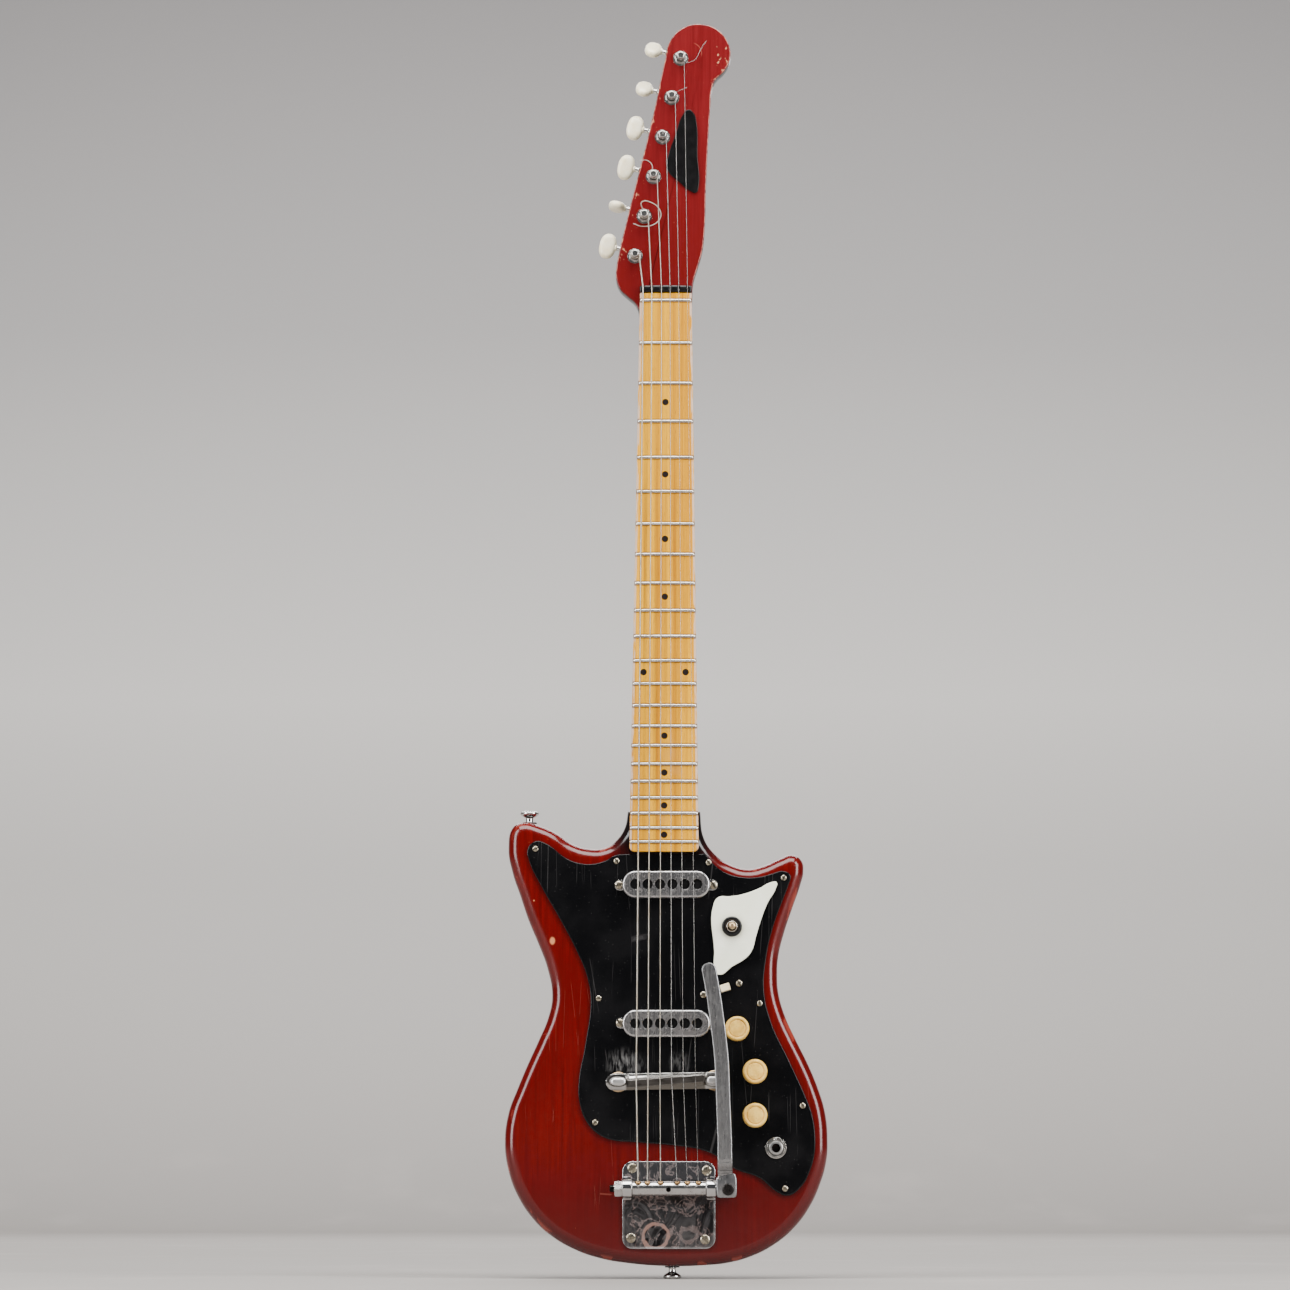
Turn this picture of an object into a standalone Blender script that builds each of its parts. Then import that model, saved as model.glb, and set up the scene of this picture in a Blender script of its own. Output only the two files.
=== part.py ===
"""Six-string electric guitar: a solid double-cutaway body, a bolt-on neck and a bar vibrato.

Frame: +Z runs up the neck and the front faces -Y. X = 0 is the centre line of the strings, with +X on
their treble side. The origin is the bottom centre of the bounding box, level with the end of the lower
strap button. Sizes below are in millimetres, and the helpers turn them into metres. A height is a distance
out of the body's front face, so it is negative inside the body.
"""

import math

import bmesh
import bpy
import numpy as np
from mathutils import Matrix, Vector

MM = 0.001
GAP = 0.3  # air between pieces that touch
SHARP = True  # marks an outline point that is a corner

# Overall layout
FACE_Y = -5.8  # the body's front face
SCALE_LENGTH = 594.0  # zero fret to the middle of the bridge
BRIDGE_Z = 150.75
ZERO_FRET_Z = BRIDGE_Z + SCALE_LENGTH

# Body
BODY_THICKNESS = 36.0
BODY_ROUNDING = 8.0
BODY_OUTLINE = (
    (26, 352, SHARP), (29, 331), (37.7, 318.7), (49.8, 311), (61.8, 308), (74, 310.4), (86, 315.7),
    (96, 318.8), (103, 314), (104.3, 306), (102, 296), (95.7, 278), (89.6, 260), (85, 241.5), (84.1, 228),
    (85, 214), (90.1, 196), (98.3, 178), (107.2, 160), (114.6, 142), (119.8, 124), (121.5, 104),
    (120.4, 87), (115.7, 70.6), (107.4, 53), (95, 37), (80, 25), (64, 17), (48, 12.4), (28, 10.2), (0, 9.7),
    (-26, 11.5), (-50, 15.5), (-70, 22.5), (-87, 32.5), (-100, 44.5), (-111.8, 62), (-118.6, 80),
    (-121.5, 101), (-118.8, 124), (-112.1, 142), (-104.6, 160), (-96.4, 178), (-89, 196), (-86.2, 212),
    (-89.8, 232.5), (-96.7, 251), (-104.3, 269), (-110.4, 287), (-116.5, 305), (-119.7, 324), (-116, 340),
    (-108, 343.5), (-95, 340.5), (-83, 335), (-71, 327), (-59, 323.5), (-47, 324), (-38, 329.5),
    (-31.5, 339), (-29, 352, SHARP),
)  # fmt: skip

# Neck and fingerboard
BOARD_THICKNESS = 5.0
BOARD_TOP = 8.8  # height of the fingerboard's face
BOARD_END_Z = 320.0
BOARD_HEAD_Z = ZERO_FRET_Z + 6.0
BOARD_WIDTH_ZERO_FRET = 40.0
BOARD_WIDTH_END = 52.6
BOARD_DRIFT = -1.65  # sideways place of the board's centre at its body end
BOARD_CORNER = 4.0
NECK_TOP = BOARD_TOP - BOARD_THICKNESS - GAP
NECK_DEPTH_HEAD = 15.5
NECK_DEPTH_BODY = 17.5
NECK_INSET = 0.3  # the neck's side stands this far inside the board's
HEEL_DEPTH = 19.2
HEEL_Z = 368.0  # where the heel has become the neck's round back
FRET_COUNT = 21
FRET_WIDTH = 2.2
FRET_CROWN = 1.0
GUIDE_WIDTH = 5.5
GUIDE_TOP = BOARD_TOP - 0.2
ROD_RADIUS = 2.2
ROD_X = -0.8
ROD_ENDS_Z = (BOARD_END_Z + 16.0, ZERO_FRET_Z - 12.75)

# Headstock, with Z counted from its base
HEAD_BASE_Z = ZERO_FRET_Z + 0.25
HEAD_THICKNESS = 14.0
HEAD_ROUNDING = 1.0
HEAD_OUTLINE = (
    (-20.2, -15, SHARP), (-20.5, -9), (-23.5, -1.5), (-29, 3.5), (-35.5, 10), (-38.3, 18.5),
    (-38.3, 25), (-35.3, 42), (-29.2, 68), (-23.3, 92), (-15, 125), (-7.5, 158), (-0.8, 190),
    (3.5, 206.5), (13, 216.7), (25.7, 220), (39.5, 216), (48.5, 205), (50.3, 193), (45.5, 182.5),
    (38.7, 175.5), (35.6, 167), (34.8, 155), (33.3, 132), (31.3, 92), (30, 55), (28.3, 40),
    (25, 28), (21.3, 15), (20.4, 3), (20.2, -15, SHARP),
)  # fmt: skip
BADGE_THICKNESS = 1.5
BADGE_OUTLINE = (
    (17.5, 151.2), (21.7, 148.5), (23.8, 142), (24.6, 115), (25.3, 89.5), (23.6, 85.6), (19.2, 86.7),
    (10, 94.5), (2.3, 101.8), (0.8, 107.5), (2, 115), (7.5, 131), (13.5, 147.5),
)  # fmt: skip

# Tuners: number 1 is nearest the tip. Each has its own axes, along the row and out towards its button.
TUNER_COUNT = 6
TUNER_FIRST = (11.7, HEAD_BASE_Z + 192.3)
TUNER_LAST = (-23.7, HEAD_BASE_Z + 35.7)
POST_RADIUS = 3.0
POST_TOP = 14.5
POST_WAIST = POST_RADIUS - 0.5
STRING_ON_POST = 9.0
TUNER_PLATE_THICKNESS = 1.2
GEAR_TEETH = 14
GEAR_MODULE = 0.65
GEAR_THICKNESS = 3.0
WORM_OFFSET = 7.0  # worm axis to post axis, along the row
WORM_RADIUS = 1.6
WORM_DEPTH = 3.4  # worm axis behind the plate
EAR_SPACING = 10.4
EAR_THICKNESS = 1.2
BUTTON_CENTRE = 23.3  # post axis to the button's middle
BUTTON_SIZE = (13.0, 20.0, 6.8)
BUTTON_TURNS = (50, 50, 8, 0, 90, 0)  # degrees each button stands turned on its shaft

# Strings, from the low one on the left to the high one on the right
STRING_RADII = (0.60, 0.46, 0.34, 0.25, 0.20, 0.16)
STRING_X_GUIDE = (-17.5, -10.8, -3.3, 3.3, 10.0, 16.7)
STRING_X_BRIDGE = (-22.6, -13.8, -4.8, 3.8, 12.6, 21.8)
STRING_X_BAR = (-21.2, -14.2, -4.4, 8.0, 15.6, 23.8)
STRING_AT_ZERO_FRET = BOARD_TOP + FRET_CROWN + 0.9
STRING_AT_GUIDE = GUIDE_TOP + 1.4
STRING_AT_BRIDGE = BOARD_TOP + 4.6

# Pickguard and what is on it
GUARD_THICKNESS = 2.0
GUARD_TOP = GAP + GUARD_THICKNESS
GUARD_OUTLINE = (
    (27.3, 318.5, SHARP), (29.5, 319.2, SHARP), (36, 311), (45, 304.5), (57.5, 301), (70, 301.2), (80, 303.6),
    (88.5, 305.7), (94, 302.5), (92.5, 295), (88.7, 285), (81, 264), (75.5, 240), (73.8, 215), (78.7, 192.5),
    (92.5, 162.5), (105, 135), (109.5, 122.5), (111.7, 108), (111.2, 93), (107.5, 80), (101, 68.5),
    (91, 62), (82.5, 65), (70, 75), (50, 82.5), (40, 90), (30, 95), (20, 97.5), (5, 99.5), (-25, 102),
    (-42, 103.7), (-52.5, 108.7), (-60, 117), (-65, 130), (-66, 145), (-61, 175), (-57, 207), (-59.5, 225),
    (-67.5, 245), (-80, 268.7), (-95, 295), (-104, 314), (-105, 322), (-99, 328.3), (-92, 327),
    (-75, 315), (-66, 311.7), (-56, 311), (-46, 313.5), (-38, 317.8), (-30.5, 318.5, SHARP),
)  # fmt: skip
CORNER_PLATE_THICKNESS = 1.7
CORNER_PLATE_OUTLINE = (
    (36, 281), (39.5, 285.7), (48, 286.4), (58, 288), (70, 292.3), (80, 297.2), (83.6, 297),
    (83, 292.5), (76.5, 281), (71.5, 268), (67.5, 255), (65.2, 246.5), (61, 240.5), (50, 233.5),
    (39.5, 227.2), (37, 230), (36.2, 245),
)  # fmt: skip

# Pickups
PICKUP_Z = (295.3, 190.5)
PICKUP_LENGTH = 66.0
PICKUP_WIDTH = 20.4
PICKUP_TOP = BOARD_TOP - 0.2
PICKUP_WALL = 1.1
POLE_HOLE_RADIUS = 3.75
POLE_SPACING = 9.35
COIL_LENGTH = 56.0
COIL_WIDTH = 11.0
COIL_DEPTH = 8.0

# Knobs and their pots
KNOBS = ((53.2, 186.5), (66.6, 154.4), (66.5, 121.7))
KNOB_RADIUS = 9.25
KNOB_HEIGHT = 11.5
KNOB_WALL = 1.6
SHAFT_RADIUS = 3.0
SHAFT_DEPTH = 8.0
BUSHING_RADIUS = 4.4
POT_RADIUS = 8.5
POT_HEIGHT = 10.0

# Switches
SLIDE_CENTRE = (41.5, 216.6)
SLIDE_ANGLE = math.radians(17.5)
SLIDE_TRAVEL = 6.0
SLIDE_CAP = (7.4, 5.4)
SLIDE_CAP_TOP = 7.0
SLIDE_BODY = (24.0, 11.0, 8.0)
TOGGLE = (49.6, 263.5)
TOGGLE_RING_RADIUS = 7.75
TOGGLE_BUSHING_RADIUS = 5.7
TOGGLE_BORE = 4.0
TOGGLE_BODY_RADIUS = 8.6
TOGGLE_DEPTH = 17.0
TOGGLE_TIP_RADIUS = 2.75
TOGGLE_LENGTH = 18.0

# Jack socket
JACK = (82.3, 97.5)
JACK_BORE_RADIUS = 3.3
JACK_RADIUS = 4.9
JACK_DEPTH = 22.0
JACK_NUT_ACROSS_CORNERS = 14.5
JACK_NUT_THICKNESS = 2.2

# Cavities under the pickguard
CONTROL_DEPTH = 28.0
CONTROL_OUTLINE = (
    (26, 232, SHARP), (64, 232, SHARP), (64, 200), (76, 188), (82, 165), (82, 130), (92, 114), (95, 98),
    (90, 84), (80, 80), (66, 88), (54, 106), (50, 130), (48, 160), (41, 176), (38, 197), (26, 202, SHARP),
)  # fmt: skip

# Bridge
BRIDGE_ENDS = (-45.5, 44.5)
BRIDGE_CENTRE_Z = BRIDGE_Z - 3.45
BRIDGE_WIDTH = 12.4
BRIDGE_BASE = (5.4, 8.0)  # bottom and top heights
BRIDGE_SKEW = 1.2  # how much higher the treble end stands
FOOT_X = 36.0
FOOT_RADIUS = 7.6
FOOT_PEG_RADIUS = 2.0
FOOT_POST_RADIUS = 3.0
FOOT_POST_DEPTH = 14.0
SADDLE_HALF_LENGTH = 29.0
SADDLE_SLANT = 4.4
SADDLE_WIDTH = 2.2
BOSS_SIZE = (12.0, 6.4)
BOSS_TOP = 9.8

# Vibrato
VIBRATO_PLATE = (-33.0, 36.7, 22.5, 87.6)  # left, right, bottom, top
VIBRATO_PLATE_THICKNESS = 1.6
VIBRATO_CORNER = 8.0
BAR_Z = 67.4
BAR_RADIUS = 5.65
BAR_HEIGHT = GAP + VIBRATO_PLATE_THICKNESS + 1.05 + BAR_RADIUS
BAR_ENDS = (-25.6, 29.6)
LUG_RADIUS = BAR_RADIUS + 1.55
LUGS = ((-33.0, -25.9), (29.9, 37.0))
AXLE_RADIUS = 2.7
AXLE_ENDS = (-42.5, 42.0)
AXLE_NUT_ACROSS = 11.4
AXLE_NUT_LENGTH = 5.6
BALL_POCKET_RADIUS = 2.3
BALL_POCKET_LEAN = math.radians(48)
STRING_IN_POCKET = BAR_RADIUS - 0.55  # bar axis to the string's end
TONGUE_WIDTH = 8.0
TONGUE_THICKNESS = 3.0
TONGUE_TIP = -15.0
SPRING_RADIUS = 4.6
SPRING_WIRE_RADIUS = 0.7
SPRING_TURNS = 6
SPRING_HEIGHT = -9.0
SPRING_FOOT_Z = 36.0
SPRING_CAVITY_DEPTH = 20.0

# Vibrato arm and its hub
ARM_PIVOT = (46.0, 66.5)
HUB = (37.3, 52.4, 60.6, 76.4)  # left, right, bottom, top
HUB_TOP = BAR_HEIGHT + LUG_RADIUS
EYE_THICKNESS = 3.4
ARM_THICKNESS = 3.0
ARM_LIFT = HUB_TOP + 9.2  # height of the arm's underside over most of its length
ARM_HALF_WIDTH = 5.5
ARM_STATIONS = (  # centre X, Z, and share of the lift reached
    (44.0, 71.0, 0.0), (44.0, 77.0, 0.0), (43.8, 79.0, 0.1), (43.6, 86.0, 0.9), (43.5, 88.5, 1.0),
    (43.3, 105.0, 1.0), (42.2, 135.0, 1.0), (41.3, 160.0, 1.0), (39.4, 180.0, 1.0), (36.0, 206.0, 1.0),
    (32.6, 226.0, 1.0), (32.0, 229.5, 1.0),
)  # fmt: skip
PIVOT_SCREW_RADIUS = 2.2
PIVOT_HEAD_RADIUS = 4.25
PIVOT_HEAD_HEIGHT = 2.4
PIVOT_SCREW_REACH = 7.0

# Neck plate, screws and strap buttons
NECK_PLATE = (50.0, 30.0)
NECK_PLATE_Z = 336.5
NECK_PLATE_THICKNESS = 1.5
NECK_SCREW_SPACING = (36.0, 17.0)
NECK_SCREW_RADIUS = 2.1
NECK_SCREW_HEAD_RADIUS = 4.2
NECK_SCREW_HEAD = 1.5
NECK_SCREW_REACH = 34.0
STRAP_BUTTON_RADIUS = 7.0
STRAP_BUTTON_STEM = 2.6
STRAP_BUTTON_LENGTH = 9.2
STRAP_SPIKE = 12.0
LOWER_BUTTON_X = 4.5
UPPER_BUTTON_X = -104.0
UPPER_BUTTON_Z = 343.1

# Colours, roughness and metallic of each material
FINISHES = {
    "red_lacquer": ((0.30, 0.008, 0.006), 0.2, 0.0),
    "black_lacquer": ((0.012, 0.011, 0.011), 0.3, 0.0),
    "board_wood": ((0.62, 0.34, 0.10), 0.35, 0.0),
    "black_plastic": ((0.010, 0.010, 0.011), 0.25, 0.0),
    "ivory_plastic": ((0.80, 0.79, 0.68), 0.35, 0.0),
    "cream_plastic": ((0.82, 0.68, 0.42), 0.4, 0.0),
    "worn_chrome": ((0.62, 0.60, 0.58), 0.25, 1.0),
    "nickel": ((0.60, 0.56, 0.48), 0.3, 1.0),
    "steel": ((0.55, 0.54, 0.52), 0.35, 1.0),
    "brass": ((0.70, 0.52, 0.25), 0.35, 1.0),
}


# ---------------------------------------------------------------- helpers


def clear_scene():
    for obj in list(bpy.data.objects):
        bpy.data.objects.remove(obj, do_unlink=True)


def new_collection(name):
    collection = bpy.data.collections.new(name)
    bpy.context.scene.collection.children.link(collection)
    return collection


def make_material(name):
    colour, roughness, metallic = FINISHES[name]
    material = bpy.data.materials.new(name)
    material.use_nodes = True
    shader = material.node_tree.nodes["Principled BSDF"]
    shader.inputs["Base Color"].default_value = (*colour, 1.0)
    shader.inputs["Roughness"].default_value = roughness
    shader.inputs["Metallic"].default_value = metallic
    return material


clear_scene()
PARTS = new_collection("electric_guitar")
CUTTERS = new_collection("cutters")
MATERIALS = {name: make_material(name) for name in FINISHES}


def add_object(name, mesh):
    obj = bpy.data.objects.new(name, mesh)
    PARTS.objects.link(obj)
    return obj


def place(obj, x=0.0, z=0.0, height=0.0, turn=0.0):
    """Stands the piece on the front face: local X is +X, local Y is +Z and local Z comes out of the face."""
    obj.location = (x * MM, (FACE_Y - height) * MM, z * MM)
    obj.rotation_euler = (math.pi / 2, -turn, 0.0)
    return obj


def place_along(obj, x, z, height, axis):
    """Puts the piece's local Z along the given world axis."""
    obj.location = (x * MM, (FACE_Y - height) * MM, z * MM)
    obj.rotation_euler = Vector(axis).to_track_quat("Z", "Y").to_euler()
    return obj


def finish(obj, material, smooth_angle=None):
    obj.data.materials.clear()
    obj.data.materials.append(MATERIALS[material])
    if smooth_angle is not None:
        obj.data.shade_smooth()
        obj.data.set_sharp_from_angle(angle=math.radians(smooth_angle))
    return obj


def as_cutter(obj):
    PARTS.objects.unlink(obj)
    CUTTERS.objects.link(obj)
    obj.hide_render = True
    obj.display_type = "WIRE"
    return obj


def boolean(obj, other, operation):
    modifier = obj.modifiers.new(other.name, "BOOLEAN")
    modifier.operation = operation
    modifier.object = as_cutter(other)


def cut(obj, *cutters):
    for cutter in cutters:
        boolean(obj, cutter, "DIFFERENCE")
    return obj


def join(obj, *additions):
    for addition in additions:
        boolean(obj, addition, "UNION")
    return obj


def mesh_from_curve(name, curve, shift=0.0):
    """The curve's evaluated surface as a welded mesh object, moved along its local Z."""
    helper = add_object(name + "_curve", curve)
    graph = bpy.context.evaluated_depsgraph_get()
    mesh = bpy.data.meshes.new_from_object(helper.evaluated_get(graph))
    bpy.data.objects.remove(helper)
    work = bmesh.new()
    work.from_mesh(mesh)
    bmesh.ops.remove_doubles(work, verts=work.verts, dist=0.01 * MM)
    bmesh.ops.translate(work, verts=work.verts, vec=(0, 0, shift))
    bmesh.ops.recalc_face_normals(work, faces=work.faces)
    work.to_mesh(mesh)
    work.free()
    return add_object(name, mesh)


def plate(name, outline, low, high, rounding=0.0, rounding_steps=1, resolution=2, centre=(0.0, 0.0)):
    """A flat piece between two heights. Outline points are smooth unless they are marked SHARP."""
    curve = bpy.data.curves.new(name, "CURVE")
    curve.dimensions = "2D"
    curve.fill_mode = "BOTH"
    curve.resolution_u = resolution
    curve.extrude = ((high - low) / 2 - rounding) * MM
    curve.bevel_depth = rounding * MM
    curve.bevel_resolution = rounding_steps
    curve.offset = -rounding * MM
    spline = curve.splines.new("BEZIER")
    spline.use_cyclic_u = True
    spline.bezier_points.add(len(outline) - 1)
    for point, (x, z, *corner) in zip(spline.bezier_points, outline):
        point.co = ((x - centre[0]) * MM, (z - centre[1]) * MM, 0)
        point.handle_left_type = point.handle_right_type = "VECTOR" if corner else "AUTO"
    return mesh_from_curve(name, curve, (low + high) / 2 * MM)


def polygon(name, points, low, high):
    """A flat piece with straight sides between two heights."""
    work = bmesh.new()
    bottom = [work.verts.new((x * MM, y * MM, low * MM)) for x, y in points]
    face = work.faces.new(bottom)
    grown = bmesh.ops.extrude_face_region(work, geom=[face])["geom"]
    top = [item for item in grown if isinstance(item, bmesh.types.BMVert)]
    bmesh.ops.translate(work, verts=top, vec=(0, 0, (high - low) * MM))
    bmesh.ops.recalc_face_normals(work, faces=work.faces)
    mesh = bpy.data.meshes.new(name)
    work.to_mesh(mesh)
    work.free()
    return add_object(name, mesh)


def ring_points(radius, count, start=0.0):
    angles = [start + math.tau * index / count for index in range(count)]
    return [(radius * math.cos(angle), radius * math.sin(angle)) for angle in angles]


def rounded_rectangle(width, length, corner, steps=4):
    """Corner arcs of a rectangle centred on the origin. A corner of half the width makes a stadium."""
    points = []
    for quarter, (side, end) in enumerate(((1, 1), (-1, 1), (-1, -1), (1, -1))):
        for step in range(steps + 1):
            angle = math.pi / 2 * (quarter + step / steps)
            x = side * (width / 2 - corner) + corner * math.cos(angle)
            y = end * (length / 2 - corner) + corner * math.sin(angle)
            points.append((x, y))
    return points


def box(name, x_range, z_range, height_range):
    left, right = x_range
    bottom, top = z_range
    return polygon(name, ((left, bottom), (right, bottom), (right, top), (left, top)), *height_range)


def rod(name, radius, low, high, sides=16):
    return polygon(name, ring_points(radius, sides), low, high)


def turned(name, profile, segments=24):
    """A turned piece about its local Z. The profile runs down the outer side, as (radius, height)."""
    mesh = bpy.data.meshes.new(name)
    points = [(radius * MM, 0, height * MM) for radius, height in profile]
    on_axis = profile[0][0] == 0
    edges = [(index, index + 1) for index in range(len(points) - 1)]
    if not on_axis:
        edges.append((len(points) - 1, 0))
    mesh.from_pydata(points, edges, [])
    obj = add_object(name, mesh)
    screw = obj.modifiers.new("turn", "SCREW")
    screw.axis = "Z"
    screw.steps = screw.render_steps = segments
    screw.use_merge_vertices = True
    screw.merge_threshold = 0.01 * MM
    screw.use_smooth_shade = True
    return obj


def loft(name, rings):
    """Skins closed rings of equal length, in the face frame, and caps both ends."""
    work = bmesh.new()
    rows = [[work.verts.new(Vector(point) * MM) for point in ring] for ring in rings]
    count = len(rows[0])
    for first, second in zip(rows, rows[1:]):
        for index in range(count):
            after = (index + 1) % count
            work.faces.new((first[index], first[after], second[after], second[index]))
    work.faces.new(rows[0])
    work.faces.new(rows[-1])
    bmesh.ops.recalc_face_normals(work, faces=work.faces)
    mesh = bpy.data.meshes.new(name)
    work.to_mesh(mesh)
    work.free()
    return add_object(name, mesh)


def wire(name, points, radius, resolution=2):
    """A round wire through the points, in the face frame."""
    curve = bpy.data.curves.new(name, "CURVE")
    curve.dimensions = "3D"
    curve.bevel_depth = radius * MM
    curve.bevel_resolution = resolution
    curve.use_fill_caps = True
    spline = curve.splines.new("POLY")
    spline.points.add(len(points) - 1)
    for target, point in zip(spline.points, points):
        target.co = (*(Vector(point) * MM), 1)
    return mesh_from_curve(name, curve)


# ---------------------------------------------------------------- where things are


def board_centre(z):
    return BOARD_DRIFT * (ZERO_FRET_Z - z) / (ZERO_FRET_Z - BOARD_END_Z)


def board_half_width(z):
    share = (ZERO_FRET_Z - z) / (ZERO_FRET_Z - BOARD_END_Z)
    return (BOARD_WIDTH_ZERO_FRET + (BOARD_WIDTH_END - BOARD_WIDTH_ZERO_FRET) * share) / 2


def fret_z(number):
    return BRIDGE_Z + SCALE_LENGTH / 2 ** (number / 12)


def raised(outline, z):
    """The outline moved along the neck."""
    return [(px, pz + z, *corner) for px, pz, *corner in outline]


def tuner_spot(index):
    """Post centre of a tuner, number 0 being nearest the tip."""
    share = index / (TUNER_COUNT - 1)
    return tuple(first + (last - first) * share for first, last in zip(TUNER_FIRST, TUNER_LAST))


ROW = Vector((TUNER_FIRST[0] - TUNER_LAST[0], TUNER_FIRST[1] - TUNER_LAST[1])).normalized()
ROW_TURN = math.atan2(ROW.y, ROW.x)  # turns local X along the row and local Y towards the buttons
HEAD_BACK = NECK_TOP - HEAD_THICKNESS
TUNER_PLATE_BACK = HEAD_BACK - GAP - TUNER_PLATE_THICKNESS
WORM_HEIGHT = TUNER_PLATE_BACK - WORM_DEPTH
GEAR_RADIUS = GEAR_TEETH * GEAR_MODULE / 2
BODY_BACK = -BODY_THICKNESS
MID_BODY = BODY_BACK / 2
HEEL_FLOOR = NECK_TOP - HEEL_DEPTH - GAP


def saddle_z(x):
    """The slanted saddle ridge's place along the strings."""
    return BRIDGE_CENTRE_Z + 2.6 + SADDLE_SLANT / 2 * x / SADDLE_HALF_LENGTH


# ---------------------------------------------------------------- body and neck


def neck_ring(z, half_width, depth, squareness, count=12):
    """Half a superellipse hanging from the neck's flat top: squareness 2 is round and 9 nearly square."""
    ring = []
    for index in range(count + 1):
        angle = math.pi * index / count
        across, down = math.cos(angle), math.sin(angle)
        x = half_width * math.copysign(abs(across) ** (2 / squareness), across)
        ring.append((board_centre(z) + x, z, NECK_TOP - depth * down ** (2 / squareness)))
    return ring


def make_neck():
    heel_low = BOARD_END_Z + GAP
    middle_z = (HEEL_Z + ZERO_FRET_Z) / 2 - 16
    stations = (
        (heel_low, HEEL_DEPTH, 12), (HEEL_Z - 12, HEEL_DEPTH, 12), (HEEL_Z, NECK_DEPTH_BODY + 0.6, 3.2),
        (HEEL_Z + 14, NECK_DEPTH_BODY, 2.5), (middle_z, (NECK_DEPTH_BODY + NECK_DEPTH_HEAD) / 2, 2.4),
        (ZERO_FRET_Z - 22, NECK_DEPTH_HEAD, 2.4), (ZERO_FRET_Z - 6, NECK_DEPTH_HEAD - 0.6, 2.6),
        (ZERO_FRET_Z + 8, HEAD_THICKNESS - 0.8, 3.0),
    )  # fmt: skip
    rings = [neck_ring(z, board_half_width(z) - NECK_INSET, depth, form) for z, depth, form in stations]
    neck = place(loft("neck", rings))
    head = place(plate("neck_head", raised(HEAD_OUTLINE, HEAD_BASE_Z), HEAD_BACK, NECK_TOP, HEAD_ROUNDING))
    join(neck, head)
    channel = ROD_RADIUS + GAP
    slot = box(
        "rod_channel",
        (ROD_X - channel, ROD_X + channel),
        (ROD_ENDS_Z[0] - 1, ROD_ENDS_Z[1] + 1),
        (NECK_TOP - 2 * channel, NECK_TOP + 1),
    )
    cut(neck, place(slot))
    for index in range(TUNER_COUNT):
        x, z = tuner_spot(index)
        bore = rod(f"post_bore_{index + 1}", POST_RADIUS + GAP, HEAD_BACK - 1, NECK_TOP + 1, 12)
        cut(neck, place(bore, x, z))
    for number, (x, z) in enumerate(neck_screw_spots(), 1):
        tip = NECK_SCREW_REACH + BODY_BACK + 2
        bore = rod(f"heel_bore_{number}", NECK_SCREW_RADIUS + GAP, BODY_BACK, tip, 10)
        cut(neck, place(bore, x, z))
    return finish(neck, "black_lacquer", 35)


def make_fingerboard():
    low, top = BOARD_END_Z, BOARD_HEAD_Z - GAP
    left_low, right_low = (board_centre(low) + side * board_half_width(low) for side in (-1, 1))
    left_top, right_top = (board_centre(top) + side * board_half_width(top) for side in (-1, 1))
    outline = [(right_top, top), (left_top, top)]
    for side, edge in ((-1, left_low), (1, right_low)):
        centre = (edge - side * BOARD_CORNER, low + BOARD_CORNER)
        arc = [math.radians(angle) for angle in (180, 210, 240, 270)]
        bend = [(centre[0] + BOARD_CORNER * math.cos(a), centre[1] + BOARD_CORNER * math.sin(a)) for a in arc]
        if side > 0:
            bend = [(2 * centre[0] - x, z) for x, z in reversed(bend)]
        outline += bend
    board = place(polygon("fingerboard", outline, BOARD_TOP - BOARD_THICKNESS, BOARD_TOP))
    for number in range(FRET_COUNT + 1):
        z = fret_z(number)
        reach = board_half_width(z) - 0.4
        half = FRET_WIDTH / 2
        low_edge = BOARD_TOP - 0.5
        section = (
            (-half, low_edge), (half, low_edge), (half, BOARD_TOP + 0.3), (half / 2, BOARD_TOP + FRET_CROWN),
            (-half / 2, BOARD_TOP + FRET_CROWN), (-half, BOARD_TOP + 0.3),
        )  # fmt: skip
        ends = (board_centre(z) - reach, board_centre(z) + reach)
        rings = [[(x, z + across, height) for across, height in section] for x in ends]
        join(board, place(loft(f"fret_{number}", rings)))
    return finish(board, "board_wood")


def make_string_guide():
    half = BOARD_WIDTH_ZERO_FRET / 2
    low = BOARD_HEAD_Z + GAP
    section = (
        (low, NECK_TOP + GAP), (low + GUIDE_WIDTH, NECK_TOP + GAP), (low + GUIDE_WIDTH, GUIDE_TOP - 1.2),
        (low + GUIDE_WIDTH - 1.2, GUIDE_TOP), (low + 1.2, GUIDE_TOP), (low, GUIDE_TOP - 1.2),
    )  # fmt: skip
    guide = loft("string_guide", [[(x, z, height) for z, height in section] for x in (-half, half)])
    return finish(place(guide), "black_plastic")


def make_truss_rod():
    length = ROD_ENDS_Z[1] - ROD_ENDS_Z[0]
    nut = ROD_RADIUS
    bar = ROD_RADIUS * 0.72
    profile = (
        (0, length), (nut, length), (nut, length - 12), (bar, length - 12), (bar, 6), (nut, 6),
        (nut, 0), (0, 0),
    )  # fmt: skip
    truss = turned("truss_rod", profile, 10)
    place_along(truss, ROD_X, ROD_ENDS_Z[0], NECK_TOP - GAP / 2 - ROD_RADIUS, (0, 0, 1))
    return finish(truss, "steel", 35)


def make_head_badge():
    low = NECK_TOP + GAP
    outline = raised(BADGE_OUTLINE, HEAD_BASE_Z)
    badge = plate("head_badge", outline, low, low + BADGE_THICKNESS, 0.4, 0)
    return finish(place(badge), "black_plastic")


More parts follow.
